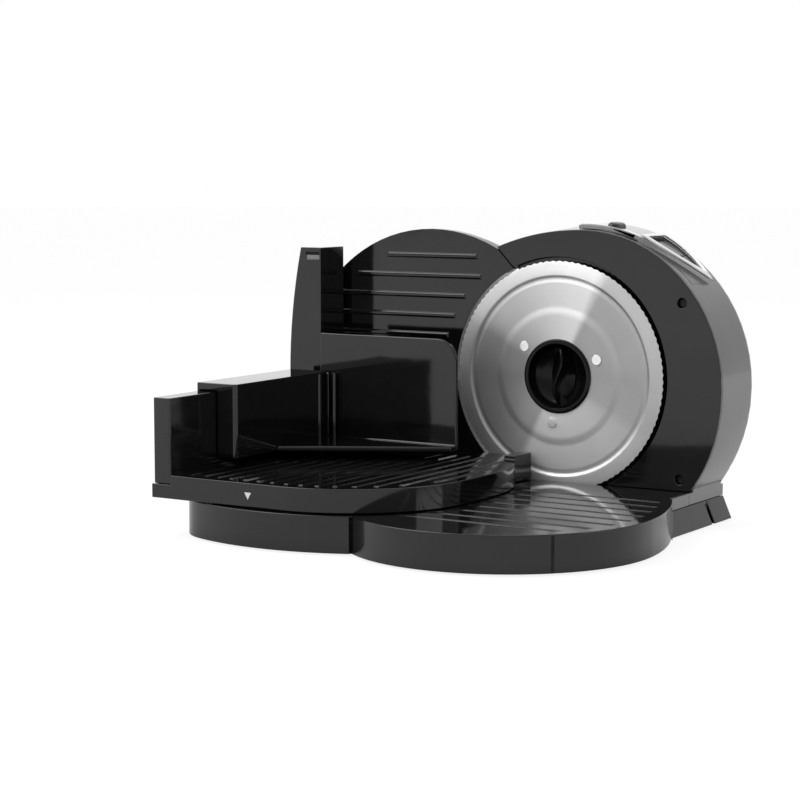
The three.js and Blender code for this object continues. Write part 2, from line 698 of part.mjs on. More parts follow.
// Carriage table, hollow below, with a bar along its far side that hooks over the rail
function tableOutline(inset) {
  const left = TABLE_LEFT + inset;
  const front = TABLE_FRONT + inset;
  const radius = TABLE_CORNER_RADIUS - inset;
  const side = TABLE_CORNER_X + radius;
  const tip = TABLE_TIP_X - inset;
  const shape = new THREE.Shape();
  shape.moveTo(left, TABLE_BACK);
  shape.lineTo(left, front);
  shape.lineTo(TABLE_CORNER_X, front);
  shape.absarc(TABLE_CORNER_X, TABLE_CORNER_Y, radius, -Math.PI / 2, 0, false);
  shape.lineTo(side, TABLE_SIDE_Y);
  shape.bezierCurveTo(side, TABLE_SIDE_Y + TABLE_SIDE_PULL, tip + TABLE_TIP_PULL_X,
    TABLE_TIP_Y - TABLE_TIP_PULL_Y, tip, TABLE_TIP_Y);
  shape.lineTo(tip, TABLE_BACK);
  return shape;
}

function tableRib(index) {
  const x = TABLE_LEFT + TABLE_RIB_INSET + index * TABLE_RIB_PITCH;
  const reach = TABLE_CORNER_RADIUS - TABLE_RIB_BORDER;
  const beyond = Math.max(0, x - TABLE_CORNER_X);
  return block(x - TABLE_RIB_WIDTH / 2, x + TABLE_RIB_WIDTH / 2,
    TABLE_CORNER_Y - halfChord(reach, beyond), TABLE_TIP_Y - TABLE_RIB_BACK,
    TABLE_FACE - CLEAR, TABLE_HEIGHT);
}

function railChannel() {
  const neck = BASE_HEIGHT + CLEAR + RAIL_STEM_HEIGHT;
  const end = TABLE_TIP_X - TABLE_WALL;
  const head = block(TABLE_LEFT - OVERRUN, end, RAIL_Y - RAIL_HEAD_WIDTH / 2 - RUNNING,
    RAIL_Y + RAIL_HEAD_WIDTH / 2 + RUNNING, neck - RUNNING, neck + RAIL_HEAD_HEIGHT + RUNNING);
  return head.add(block(TABLE_LEFT - OVERRUN, end, RAIL_Y - RAIL_STEM_WIDTH / 2 - RUNNING,
    RAIL_Y + RAIL_STEM_WIDTH / 2 + RUNNING, TABLE_BOTTOM - OVERRUN, neck));
}

function makeTable() {
  let table = level(tableOutline(0), TABLE_BOTTOM, TABLE_FACE);
  const hollow = level(tableOutline(TABLE_WALL), TABLE_BOTTOM - OVERRUN,
    TABLE_FACE - TABLE_PLATE);
  const room = block(WALL_RIGHT + TABLE_WALL, OVERRUN, TABLE_FRONT, TABLE_TIP_Y - TABLE_WALL,
    TABLE_BOTTOM - 2 * OVERRUN, TABLE_HEIGHT);
  table = table.subtract(hollow.intersect(room));
  const field = level(tableOutline(TABLE_RIB_BORDER), TABLE_BOTTOM, TABLE_HEIGHT);
  for (let index = 0; index < TABLE_RIB_COUNT; index += 1) {
    table = table.add(tableRib(index).intersect(field));
  }
  table = table.add(block(TABLE_TIP_X - TIP_BLOCK_LENGTH, TABLE_TIP_X, TABLE_TIP_Y, TABLE_BACK,
    TABLE_BOTTOM, TABLE_HEIGHT + TIP_BLOCK_RISE));
  table = table.subtract(railChannel());
  return table.subtract(block(TABLE_LEFT - OVERRUN, WALL_RIGHT + CLEAR, TABLE_FRONT - OVERRUN,
    GUARD_FRONT, WALL_BOTTOM - CLEAR, TABLE_HEIGHT + OVERRUN));
}

function makeGlide(x, y) {
  return discZ(x, y, GLIDE_RADIUS, BASE_HEIGHT + CLEAR, TABLE_FACE - TABLE_PLATE - CLEAR,
    SMALL_STEPS);
}

function makeWall() {
  const front = TABLE_FRONT + WALL_FRONT_INSET;
  const back = GUARD_FRONT - CLEAR;
  const wall = block(WALL_LEFT, WALL_RIGHT, front, back, WALL_BOTTOM, WALL_TOP);
  return wall.subtract(block(WALL_LEFT + WALL_SHELL, WALL_RIGHT - WALL_SHELL,
    front + WALL_SHELL, back - WALL_SHELL, WALL_BOTTOM - OVERRUN, WALL_TOP - WALL_SHELL));
}

// Finger guard, seen from the operator: flat on the right, bulging on the left
function guardOutline(inset) {
  const right = WALL_RIGHT - inset;
  const topLeft = WALL_RIGHT - GUARD_TOP_WIDTH + inset;
  const waist = WALL_RIGHT - GUARD_BULGE + inset;
  const footLeft = WALL_RIGHT - GUARD_BOTTOM_WIDTH + inset;
  const top = GUARD_TOP - inset;
  const bottom = GUARD_BOTTOM + inset;
  const step = TABLE_FACE + CLEAR + inset;
  const tableSide = TABLE_LEFT - CLEAR - inset;
  const shape = new THREE.Shape();
  shape.moveTo(right, top);
  shape.lineTo(topLeft, top);
  shape.quadraticCurveTo(waist, (top + GUARD_WAIST_HEIGHT) / 2, waist, GUARD_WAIST_HEIGHT);
  shape.quadraticCurveTo(waist, (GUARD_WAIST_HEIGHT + bottom) / 2, footLeft, bottom);
  shape.lineTo(tableSide, bottom);
  shape.lineTo(tableSide, step);
  shape.lineTo(right, step);
  return shape;
}

function makeGuard() {
  const skin = GUARD_FRONT + GUARD_WINDOW_DEPTH + GUARD_SHELL;
  const guard = upright(guardOutline(0), GUARD_FRONT, GUARD_BACK);
  const pocket = upright(guardOutline(GUARD_SHELL), skin, GUARD_BACK + OVERRUN);
  const windowTop = GUARD_TOP - GUARD_WINDOW_DROP;
  const window = block(WALL_LEFT + GUARD_WINDOW_INSET, WALL_RIGHT - GUARD_WINDOW_INSET,
    GUARD_FRONT - OVERRUN, GUARD_FRONT + GUARD_WINDOW_DEPTH, windowTop - GUARD_WINDOW_HEIGHT,
    windowTop);
  // A notch through the foot, which lets the guard pass over the rail
  const notch = block(WALL_RIGHT - GUARD_BULGE - OVERRUN, WALL_RIGHT + OVERRUN,
    RAIL_Y - RAIL_HEAD_WIDTH / 2 - RUNNING, RAIL_Y + RAIL_HEAD_WIDTH / 2 + RUNNING,
    GUARD_BOTTOM - OVERRUN, BASE_HEIGHT + RAIL_STEM_HEIGHT + RAIL_HEAD_HEIGHT + 2 * RUNNING);
  return guard.subtract(pocket).subtract(window).subtract(notch);
}

// Remnant holder: a cap that straddles the wall, and a plate that pushes the food
function makeHolderCap() {
  const slotLeft = WALL_LEFT - RUNNING;
  const slotRight = WALL_RIGHT + RUNNING;
  const cap = block(slotLeft - HOLDER_LEG, HOLDER_RIGHT, HOLDER_FRONT, HOLDER_BACK,
    HOLDER_BOTTOM, HOLDER_TOP);
  const slot = block(slotLeft, slotRight, HOLDER_FRONT - OVERRUN, HOLDER_BACK + OVERRUN,
    HOLDER_BOTTOM - OVERRUN, WALL_TOP + RUNNING);
  const room = block(slotRight + HOLDER_SHELL, HOLDER_RIGHT - HOLDER_SHELL,
    HOLDER_FRONT + HOLDER_SHELL, HOLDER_BACK - HOLDER_SHELL, HOLDER_BOTTOM - OVERRUN,
    HOLDER_TOP - HOLDER_SHELL);
  return cap.subtract(slot).subtract(room);
}

function pusherOutline() {
  const cornerX = PUSHER_RIGHT - PUSHER_CORNER_RADIUS;
  const cornerZ = PUSHER_TOP - PUSHER_CORNER_RADIUS;
  const shape = new THREE.Shape();
  shape.moveTo(PUSHER_LEFT, HOLDER_BOTTOM);
  shape.lineTo(PUSHER_RIGHT, HOLDER_BOTTOM);
  shape.lineTo(PUSHER_RIGHT, cornerZ);
  shape.absarc(cornerX, cornerZ, PUSHER_CORNER_RADIUS, 0, Math.PI / 2, false);
  shape.lineTo(PUSHER_LEFT, PUSHER_TOP);
  return shape;
}

function spike(column, row) {
  const cone = new THREE.ConeGeometry(SPIKE_RADIUS, SPIKE_LENGTH + CLEAR, TINY_STEPS / 2);
  const x = PUSHER_LEFT + SPIKE_INSET + column * SPIKE_PITCH_X;
  const z = HOLDER_BOTTOM + SPIKE_INSET + row * SPIKE_PITCH_Z;
  return solidOf(cone.translate(x, PUSHER_BACK + (SPIKE_LENGTH - CLEAR) / 2, z));
}

function makePusher() {
  const foot = HOLDER_RIGHT + CLEAR;
  const flange = polygon([[foot, PUSHER_FRONT - FLANGE_LENGTH],
    [PUSHER_RIGHT, PUSHER_FRONT - FLANGE_END_LENGTH], [PUSHER_RIGHT, PUSHER_FRONT + CLEAR],
    [foot, PUSHER_FRONT + CLEAR]]);
  let pusher = upright(pusherOutline(), PUSHER_FRONT, PUSHER_BACK);
  pusher = pusher.add(level(flange, HOLDER_BOTTOM, HOLDER_BOTTOM + FLANGE_THICKNESS));
  pusher = pusher.add(block(PUSHER_LEFT, HOLDER_RIGHT - HOLDER_SHELL, HOLDER_BACK + CLEAR,
    PUSHER_FRONT + CLEAR, HOLDER_BOTTOM, HOLDER_TOP - HOLDER_SHELL));
  for (let column = 0; column < SPIKE_COLUMNS; column += 1) {
    for (let row = 0; row < SPIKE_ROWS; row += 1) {
      pusher = pusher.add(spike(column, row));
    }
  }
  return pusher;
}

// Blade about its own axis: a stepped disc inside a thin toothed ring
function makeBlade() {
  const bore = LOCK_CUP_RADIUS + RUNNING;
  const rim = BLADE_RADIUS - BLADE_RIM_WIDTH;
  const edge = BLADE_EDGE_THICKNESS / 2;
  const body = turnedY([[bore, -BLADE_FACE], [BLADE_HUB_RADIUS, -BLADE_FACE],
    [BLADE_HUB_RADIUS + BLADE_HUB_STEP, -BLADE_MID_FACE], [rim, -BLADE_MID_FACE],
    [rim, BLADE_BACK], [bore, BLADE_BACK]], 0, 0, FINE_STEPS);
  const points = [];
  for (let index = 0; index < 2 * BLADE_TEETH; index += 1) {
    const radius = BLADE_RADIUS - (index % 2) * BLADE_TOOTH_DEPTH;
    const angle = index * FULL / (2 * BLADE_TEETH);
    points.push([radius * Math.cos(angle), radius * Math.sin(angle)]);
  }
  const hole = discY(0, 0, rim - BLADE_HUB_STEP, -OVERRUN, OVERRUN, FINE_STEPS);
  let blade = upright(polygon(points), -edge, edge).subtract(hole).add(body);
  for (const [x, z] of rivetPlaces()) {
    blade = blade.subtract(discY(x, z, RIVET_SHANK + CLEAR, -OVERRUN, OVERRUN, TINY_STEPS));
  }
  return blade;
}

function rivetPlaces() {
  const places = [];
  for (let index = 0; index < RIVET_COUNT; index += 1) {
    const angle = radians(RIVET_ANGLE) + index * FULL / RIVET_COUNT;
    places.push([RIVET_CIRCLE * Math.cos(angle), RIVET_CIRCLE * Math.sin(angle)]);
  }
  return places;
}

function makeRivet([x, z]) {
  const seat = -BLADE_FACE - CLEAR;
  return turnedY([[0, seat - RIVET_HEAD], [RIVET_RADIUS, seat - RIVET_HEAD], [RIVET_RADIUS, seat],
    [RIVET_SHANK, seat], [RIVET_SHANK, RIVET_LENGTH], [0, RIVET_LENGTH]], x, z, TINY_STEPS);
}

function gearOutline(teeth, phase) {
  const pitch = teeth * GEAR_MODULE / 2;
  const [tip, root] = [pitch + GEAR_ADDENDUM, pitch - GEAR_DEDENDUM];
  const step = FULL / teeth;
  const [tipHalf, rootHalf] = [step * GEAR_TIP_SHARE / 2, step * GEAR_ROOT_SHARE / 2];
  const points = [];
  for (let index = 0; index < teeth; index += 1) {
    const middle = phase + index * step;
    for (const [radius, offset] of [[root, -rootHalf], [tip, -tipHalf], [tip, tipHalf],
      [root, rootHalf]]) {
      points.push([radius * Math.cos(middle + offset), radius * Math.sin(middle + offset)]);
    }
  }
  return polygon(points);
}

function makeBladeGear() {
  const front = BLADE_BACK + CLEAR;
  const back = front + BLADE_GEAR_WIDTH;
  let gear = upright(gearOutline(BLADE_GEAR_TEETH, 0), front, back);
  gear = gear.subtract(discY(0, 0, LOCK_CUP_RADIUS + RUNNING, -OVERRUN, back + OVERRUN,
    ROUND_STEPS));
  for (const [x, z] of rivetPlaces()) {
    gear = gear.subtract(discY(x, z, RIVET_SHANK + CLEAR, -OVERRUN, RIVET_LENGTH + CLEAR,
      TINY_STEPS));
  }
  return gear;
}

// Pinion and worm wheel in one moulding, about its own axis
function makeReducer() {
  const front = BLADE_BACK + PINION_GAP;
  const pinionBack = front + PINION_WIDTH;
  const step = FULL / WORM_WHEEL_TEETH;
  const points = [];
  for (let index = 0; index < 2 * WORM_WHEEL_TEETH; index += 1) {
    const radius = WORM_WHEEL_RADIUS - (index % 2) * WORM_WHEEL_DEPTH;
    points.push([radius * Math.cos(index * step / 2), radius * Math.sin(index * step / 2)]);
  }
  const pinion = upright(gearOutline(PINION_TEETH, Math.PI / PINION_TEETH), front, pinionBack);
  const hub = discY(0, 0, PINION_HUB_RADIUS, pinionBack - CLEAR, REDUCER_BACK, SMALL_STEPS);
  const wheel = upright(polygon(points), WORM_WHEEL_FRONT, WORM_WHEEL_FRONT + WORM_WHEEL_WIDTH);
  return pinion.add(hub).add(wheel).subtract(discY(0, 0, GEAR_PIN_RADIUS + CLEAR, -OVERRUN,
    REDUCER_BACK + OVERRUN, TINY_STEPS));
}

function makeGearPin() {
  return discY(REDUCER_X, BLADE_HEIGHT, GEAR_PIN_RADIUS, BLADE_BACK + PINION_GAP,
    HOUSING_INSIDE_BACK - CLEAR, TINY_STEPS);
}

function makeAxle() {
  return discY(0, BLADE_HEIGHT, AXLE_RADIUS, LOCK_FLOOR_FRONT + LOCK_FLOOR + CLEAR,
    HOUSING_INSIDE_BACK - CLEAR, SMALL_STEPS);
}

// Blade lock about its own axis: a deep cup with a grip bar across it
function gripOutline() {
  const end = LOCK_RECESS_RADIUS + CLEAR;
  const [half, neck] = [LOCK_GRIP_WIDTH, LOCK_GRIP_NECK / 2];
  const shape = new THREE.Shape();
  shape.moveTo(-neck, -end);
  shape.lineTo(neck, -end);
  shape.quadraticCurveTo(half, 0, neck, end);
  shape.lineTo(-neck, end);
  shape.quadraticCurveTo(-half, 0, -neck, -end);
  return shape;
}

function makeLock() {
  const seat = -BLADE_FACE - CLEAR;
  const back = LOCK_FLOOR_FRONT + LOCK_FLOOR;
  const cup = turnedY([[0, LOCK_FLOOR_FRONT], [LOCK_RECESS_RADIUS, LOCK_FLOOR_FRONT],
    [LOCK_RECESS_RADIUS, -LOCK_FRONT], [LOCK_FLANGE_RADIUS, -LOCK_FRONT],
    [LOCK_FLANGE_RADIUS, seat], [LOCK_CUP_RADIUS, seat], [LOCK_CUP_RADIUS, back], [0, back]],
  0, 0, ROUND_STEPS);
  return cup.add(upright(gripOutline(), LOCK_GRIP_DEPTH - LOCK_FRONT, LOCK_FLOOR_FRONT + CLEAR));
}

// Housing outline in X and Z: a shallow arc over the blade, a round right side, a narrow foot.
// The inset thins it for the hollow, and the swell widens its arcs towards the back.
const ARM_Z = HOUSING_Z + HOUSING_RADIUS - ARM_RADIUS;
const SEAM_Z = ARM_Z + halfChord(ARM_RADIUS, SEAM_X - HOUSING_X);
const SEAM_RUN_X = Math.cos(radians(SEAM_ANGLE));
const SEAM_RUN_Z = -Math.sin(radians(SEAM_ANGLE));

function seamTop(inset, swell) {
  const radius = ARM_RADIUS + swell - inset;
  const x = SEAM_X - inset * SEAM_RUN_Z - HOUSING_X;
  const z = SEAM_Z + inset * SEAM_RUN_X - ARM_Z;
  const along = x * SEAM_RUN_X + z * SEAM_RUN_Z;
  const step = -along - Math.sqrt(along * along - x * x - z * z + radius * radius);
  return [HOUSING_X + x + step * SEAM_RUN_X, ARM_Z + z + step * SEAM_RUN_Z];
}

function housingOutline(inset, swell) {
  const [topX, topZ] = seamTop(inset, swell);
  const armStart = Math.atan2(topZ - ARM_Z, topX - HOUSING_X);
  const radius = HOUSING_RADIUS + swell - inset;
  const side = HOUSING_X + radius;
  const foot = HOUSING_FOOT_X - inset;
  const bottom = HOUSING_BOTTOM + inset;
  const left = OUTLET_X + inset;
  const shape = new THREE.Shape();
  shape.moveTo(topX, topZ);
  shape.absarc(HOUSING_X, ARM_Z, ARM_RADIUS + swell - inset, armStart, Math.PI / 2, true);
  shape.absarc(HOUSING_X, HOUSING_Z, radius, Math.PI / 2, 0, true);
  shape.bezierCurveTo(side, HOUSING_Z - HOUSING_SIDE_PULL, foot + HOUSING_FOOT_PULL_X,
    bottom + HOUSING_FOOT_PULL_Z, foot, bottom);
  shape.lineTo(left, bottom);
  shape.lineTo(left, BLADE_HEIGHT + halfChord(BLADE_RADIUS, OUTLET_X) - inset);
  shape.lineTo(SEAM_X + SEAM_LENGTH * SEAM_RUN_X + 2 * inset,
    SEAM_Z + SEAM_LENGTH * SEAM_RUN_Z);
  return shape;
}

function makePanel() {
  const face = upright(housingOutline(0, 0), 0, PANEL_THICKNESS);
  const hole = discY(0, BLADE_HEIGHT, RECESS_RADIUS, -OVERRUN, RECESS_FLOOR_FRONT, FINE_STEPS);
  const pan = discY(0, BLADE_HEIGHT, RECESS_RADIUS + RECESS_SKIRT, 0, RECESS_FLOOR_BACK,
    FINE_STEPS);
  const outline = upright(housingOutline(0, 0), 0, RECESS_FLOOR_BACK);
  let panel = face.add(pan.intersect(outline)).subtract(hole);
  panel = panel.subtract(block(2 * OUTLET_X, 0, -OVERRUN, RECESS_FLOOR_FRONT, 0, BLADE_HEIGHT));
  const cups = [[0, CUP_RADIUS], [REDUCER_X, PINION_CUP_RADIUS]];
  for (const [x, radius] of cups) {
    panel = panel.add(discY(x, BLADE_HEIGHT, radius + RECESS_SKIRT,
      RECESS_FLOOR_FRONT, CUP_FLOOR_BACK, ROUND_STEPS));
  }
  for (const [x, radius] of cups) {
    panel = panel.subtract(discY(x, BLADE_HEIGHT, radius, -OVERRUN, CUP_FLOOR_FRONT,
      ROUND_STEPS));
  }
  for (const [x, radius] of [[0, AXLE_RADIUS], [REDUCER_X, PINION_HUB_RADIUS]]) {
    panel = panel.subtract(discY(x, BLADE_HEIGHT, radius + RUNNING, 0, CUP_FLOOR_BACK + OVERRUN,
      SMALL_STEPS));
  }
  for (const z of [PANEL_SCREW_HIGH, PANEL_SCREW_LOW]) {
    panel = panel.add(discY(PANEL_SCREW_X, z, PANEL_BUSH_RADIUS, 0, PANEL_BUSH_BACK,
      SMALL_STEPS));
    panel = panel.subtract(discY(PANEL_SCREW_X, z, PANEL_SCREW_HOLE, -OVERRUN,
      PANEL_SCREW_SEAT, SMALL_STEPS));
    panel = panel.subtract(discY(PANEL_SCREW_X, z, SCREW_SHANK_RADIUS + CLEAR, -OVERRUN,
      PANEL_BUSH_BACK + OVERRUN, SMALL_STEPS));
  }
  return panel;
}

function makePanelScrew(z) {
  const seat = PANEL_SCREW_SEAT - CLEAR;
  const tip = seat + PANEL_SCREW_LENGTH;
  return turnedY([[0, seat - SCREW_HEAD_HEIGHT], [SCREW_HEAD_RADIUS, seat - SCREW_HEAD_HEIGHT],
    [SCREW_HEAD_RADIUS, seat], [SCREW_SHANK_RADIUS, seat], [SCREW_SHANK_RADIUS, tip], [0, tip]],
  PANEL_SCREW_X, z, TINY_STEPS);
}

// Outer form of the shell, widened by a gap where something rests on it
function shellForm(gap) {
  const depth = HOUSING_DEPTH - HOUSING_FRONT;
  const stations = HOUSING_OUTER_SHARES.map(([share, swellShare]) => [
    HOUSING_FRONT + share * depth, swellShare * HOUSING_SWELL + gap]);
  return drafted((swell) => housingOutline(0, swell), stations);
}

function shellRoom() {
  const depth = HOUSING_DEPTH - HOUSING_FRONT;
  const stations = HOUSING_INNER_SHARES.map(([share, swellShare]) => [
    HOUSING_FRONT + share * depth, swellShare * HOUSING_SWELL]);
  stations.unshift([HOUSING_FRONT - OVERRUN, 0]);
  stations.push([HOUSING_INSIDE_BACK, 0]);
  return drafted((swell) => housingOutline(HOUSING_WALL, swell), stations);
}

// Right flank of the shell, which runs down beside the base deck
function flank() {
  const inner = BASE_RIGHT - BAND_THICKNESS;
  const top = HOUSING_BOTTOM + HOUSING_WALL;
  const low = block(inner, BASE_RIGHT, BAND_BACK + CLEAR, BASE_BACK - CLEAR,
    PLINTH_HEIGHT + CLEAR, BASE_HEIGHT);
  const high = block(HOUSING_FOOT_X - HOUSING_WALL, BASE_RIGHT, HOUSING_FRONT,
    HOUSING_INSIDE_BACK, HOUSING_BOTTOM, top);
  return low.add(high).add(block(inner, BASE_RIGHT, HOUSING_FRONT, HOUSING_INSIDE_BACK,
    BASE_HEIGHT - CLEAR, top));
}

// Hollow posts inside the shell that carry the screws, the axle, the gear pin and the board
function shellPosts() {
  const back = HOUSING_INSIDE_BACK + CLEAR;
  let posts = discY(0, BLADE_HEIGHT, AXLE_RADIUS + CLEAR + AXLE_BOSS_WALL, AXLE_BOSS_FRONT, back,
    SMALL_STEPS);
  posts = posts.add(discY(REDUCER_X, BLADE_HEIGHT, GEAR_PIN_RADIUS + CLEAR + PIN_BOSS_WALL,
    REDUCER_BACK + RUNNING, back, SMALL_STEPS));
  for (const z of [PANEL_SCREW_HIGH, PANEL_SCREW_LOW]) {
    posts = posts.add(discY(PANEL_SCREW_X, z, HOUSING_BOSS_RADIUS, PANEL_BUSH_BACK + CLEAR, back,
      SMALL_STEPS));
  }
  for (const x of [BOARD_LEFT + STANDOFF_INSET, BOARD_LEFT + BOARD_WIDTH - STANDOFF_INSET]) {
    posts = posts.add(discY(x, BOARD_BOTTOM + BOARD_HEIGHT / 2, STANDOFF_RADIUS,
      HOUSING_INSIDE_BACK - BOARD_STANDOFF, back, TINY_STEPS));
  }
  return posts;
}

function shellHoles() {
  const reach = HOUSING_DEPTH + OVERRUN;
  let holes = discY(GLAND_X, GLAND_Z, GLAND_RADIUS + CLEAR, HOUSING_DEPTH - OVERRUN, reach,
    SMALL_STEPS);
  for (let index = 0; index < VENT_COUNT; index += 1) {
    const x = VENT_FIRST_X + index * VENT_PITCH;
    holes = holes.add(block(x - VENT_WIDTH / 2, x + VENT_WIDTH / 2, HOUSING_DEPTH - OVERRUN,
      reach, VENT_BOTTOM, VENT_TOP));
  }
  for (const z of [PANEL_SCREW_HIGH, PANEL_SCREW_LOW]) {
    holes = holes.add(discY(PANEL_SCREW_X, z, SCREW_SHANK_RADIUS + CLEAR, 0,
      PANEL_SCREW_SEAT + PANEL_SCREW_LENGTH, SMALL_STEPS));
  }
  holes = holes.add(discY(0, BLADE_HEIGHT, AXLE_RADIUS + CLEAR, 0, HOUSING_INSIDE_BACK,
    SMALL_STEPS));
  return holes.add(discY(REDUCER_X, BLADE_HEIGHT, GEAR_PIN_RADIUS + CLEAR, 0,
    HOUSING_INSIDE_BACK, TINY_STEPS));
}

function makeShell() {
  let shell = shellForm(0).subtract(shellRoom()).add(flank());
  shell = shell.subtract(discY(0, BLADE_HEIGHT, RECESS_RADIUS + RECESS_SKIRT + CLEAR, 0,
    RECESS_FLOOR_BACK + CLEAR, FINE_STEPS));
  shell = shell.add(shellPosts()).subtract(shellHoles());
  return shell.subtract(trayBody(CLEAR)).subtract(sleeve(SLEEVE_WALL + CLEAR));
}

// Ring sectors about the housing centre, and pieces aimed along one of its radii
function sector(from, to, inner, outer, y0, y1) {
  const shape = new THREE.Shape();
  shape.absarc(HOUSING_X, HOUSING_Z, outer, radians(from), radians(to), false);
  shape.absarc(HOUSING_X, HOUSING_Z, inner, radians(to), radians(from), true);
  return upright(shape, y0, y1);
}

function aimed(geometry, angle) {
  return solidOf(geometry.rotateY(radians(90 - angle)).translate(HOUSING_X, 0, HOUSING_Z));
}

const TRAY_FROM = BEZEL_START + BEZEL_ANGLE;
const TRAY_TO = BEZEL_END - BEZEL_ANGLE;
const TRAY_INNER = HOUSING_RADIUS - TRAY_DEPTH;

function trayBody(gap) {
  const gapAngle = THREE.MathUtils.radToDeg(gap / HOUSING_RADIUS);
  return sector(TRAY_FROM - gapAngle, TRAY_TO + gapAngle, TRAY_INNER - gap,
    HOUSING_RADIUS + CONSOLE_TOP + gap, CONSOLE_FRONT + TRAY_MARGIN - gap,
    CONSOLE_BACK - TRAY_MARGIN + gap);
}

function trayRoom() {
  return sector(TRAY_FROM + TRAY_WALL_ANGLE, TRAY_TO - TRAY_WALL_ANGLE, TRAY_INNER + TRAY_WALL,
    HOUSING_RADIUS + CONSOLE_TOP + OVERRUN, CONSOLE_FRONT + TRAY_MARGIN + TRAY_WALL,
    CONSOLE_BACK - TRAY_MARGIN - TRAY_WALL);
}

function stadium(margin) {
  const radius = SAFETY_WIDTH / 2 + margin;
  const half = (SAFETY_LENGTH - SAFETY_WIDTH) / 2;
  const shape = new THREE.Shape();
  shape.absarc(0, SAFETY_Y + half, radius, 0, Math.PI, false);
  shape.absarc(0, SAFETY_Y - half, radius, Math.PI, FULL, false);
  return shape;
}

function sleeve(margin) {
  return aimed(levelForm(stadium(margin), HOUSING_RADIUS - SLEEVE_DEPTH,
    HOUSING_RADIUS + POD_TOP - CLEAR), SAFETY_ANGLE);
}

function makeConsole() {
  const bezel = sector(BEZEL_START, BEZEL_END, HOUSING_RADIUS - CLEAR,
    HOUSING_RADIUS + CONSOLE_TOP, CONSOLE_FRONT, CONSOLE_BACK);
  const pod = sector(BEZEL_END - CLEAR, POD_END, HOUSING_RADIUS - CLEAR,
    HOUSING_RADIUS + POD_TOP, CONSOLE_FRONT, CONSOLE_BACK);
  const rest = bezel.add(pod).subtract(shellForm(CLEAR));
  const opening = aimed(levelForm(stadium(CLEAR), HOUSING_RADIUS - SLEEVE_DEPTH - OVERRUN,
    HOUSING_RADIUS + POD_TOP + OVERRUN), SAFETY_ANGLE);
  return rest.add(trayBody(0)).subtract(trayRoom()).add(sleeve(SLEEVE_WALL)).subtract(opening);
}

function makeKey(from, to) {
  const y0 = CONSOLE_FRONT + TRAY_MARGIN + TRAY_WALL + CLEAR;
  const y1 = CONSOLE_BACK - TRAY_MARGIN - TRAY_WALL - CLEAR;
  return sector(from, to, TRAY_INNER + TRAY_WALL + KEY_LIFT, HOUSING_RADIUS + KEY_TOP, y0, y1);
}

const KEY_FROM = TRAY_FROM + TRAY_WALL_ANGLE + KEY_GAP_ANGLE;
const KEY_TO = TRAY_TO - TRAY_WALL_ANGLE - KEY_GAP_ANGLE;
const KEY_MIDDLE = (KEY_FROM + KEY_TO) / 2;

function makeSafetyButton() {
  return aimed(levelForm(stadium(0), HOUSING_RADIUS - SAFETY_DEPTH,
    HOUSING_RADIUS + SAFETY_TOP), SAFETY_ANGLE);
}

function makeKeySwitch() {
  const top = TRAY_INNER - CLEAR;
  return sector(TRAY_FROM + SWITCH_SIDE, TRAY_TO - SWITCH_SIDE, top - SWITCH_HEIGHT, top,
    CONSOLE_FRONT + TRAY_MARGIN + TRAY_WALL, CONSOLE_BACK - TRAY_MARGIN - TRAY_WALL);
}

function makeSafetySwitch() {
  const top = HOUSING_RADIUS - SLEEVE_DEPTH - CLEAR;
  const body = new THREE.BoxGeometry(SAFETY_WIDTH + 2 * SLEEVE_WALL, SAFETY_LENGTH,
    SWITCH_HEIGHT);
  return aimed(body.translate(0, SAFETY_Y, top - SWITCH_HEIGHT / 2), SAFETY_ANGLE);
}

// Circuit board on the shell's posts
const BOARD_BACK = HOUSING_INSIDE_BACK - BOARD_STANDOFF - CLEAR;

function makeBoard() {
  return block(BOARD_LEFT, BOARD_LEFT + BOARD_WIDTH, BOARD_BACK - BOARD_THICKNESS, BOARD_BACK,
    BOARD_BOTTOM, BOARD_BOTTOM + BOARD_HEIGHT);
}

function makeCapacitor() {
  const seat = BOARD_BACK - BOARD_THICKNESS - CLEAR;
  return discY(BOARD_LEFT + BOARD_WIDTH / 2, BOARD_BOTTOM + BOARD_HEIGHT / 2, CAPACITOR_RADIUS,
    seat - CAPACITOR_LENGTH, seat, SMALL_STEPS);
}

function makeGland() {
  const seat = HOUSING_DEPTH + CLEAR;
  const flange = seat + GLAND_FLANGE;
  return turnedY([[GLAND_BORE, GLAND_FRONT], [GLAND_RADIUS, GLAND_FRONT], [GLAND_RADIUS, seat],
    [GLAND_FLANGE_RADIUS, seat], [GLAND_FLANGE_RADIUS, flange], [GLAND_RADIUS, flange],
    [GLAND_RADIUS, flange + GLAND_TAIL], [GLAND_BORE, flange + GLAND_TAIL]],
  GLAND_X, GLAND_Z, SMALL_STEPS);
}

// Motor, upright behind the lower right of the panel
const MOTOR_BOTTOM = BASE_HEIGHT + MOTOR_LIFT;
const MOTOR_TOP = MOTOR_BOTTOM + MOTOR_LENGTH;
const WORM_BOTTOM = BLADE_HEIGHT - WORM_RINGS * WORM_PITCH / 2;
const WORM_TOP = BLADE_HEIGHT + WORM_RINGS * WORM_PITCH / 2;
const BEARING_BOTTOM = WORM_TOP + BEARING_LIFT;

function makeMotorCan() {
  return turnedZ([[SHAFT_HOLE, MOTOR_TOP], [MOTOR_RADIUS, MOTOR_TOP],
    [MOTOR_RADIUS, MOTOR_BOTTOM], [MOTOR_RADIUS - MOTOR_WALL, MOTOR_BOTTOM],
    [MOTOR_RADIUS - MOTOR_WALL, MOTOR_TOP - MOTOR_WALL], [SHAFT_HOLE, MOTOR_TOP - MOTOR_WALL]],
  MOTOR_X, MOTOR_Y, ROUND_STEPS / 2);
}

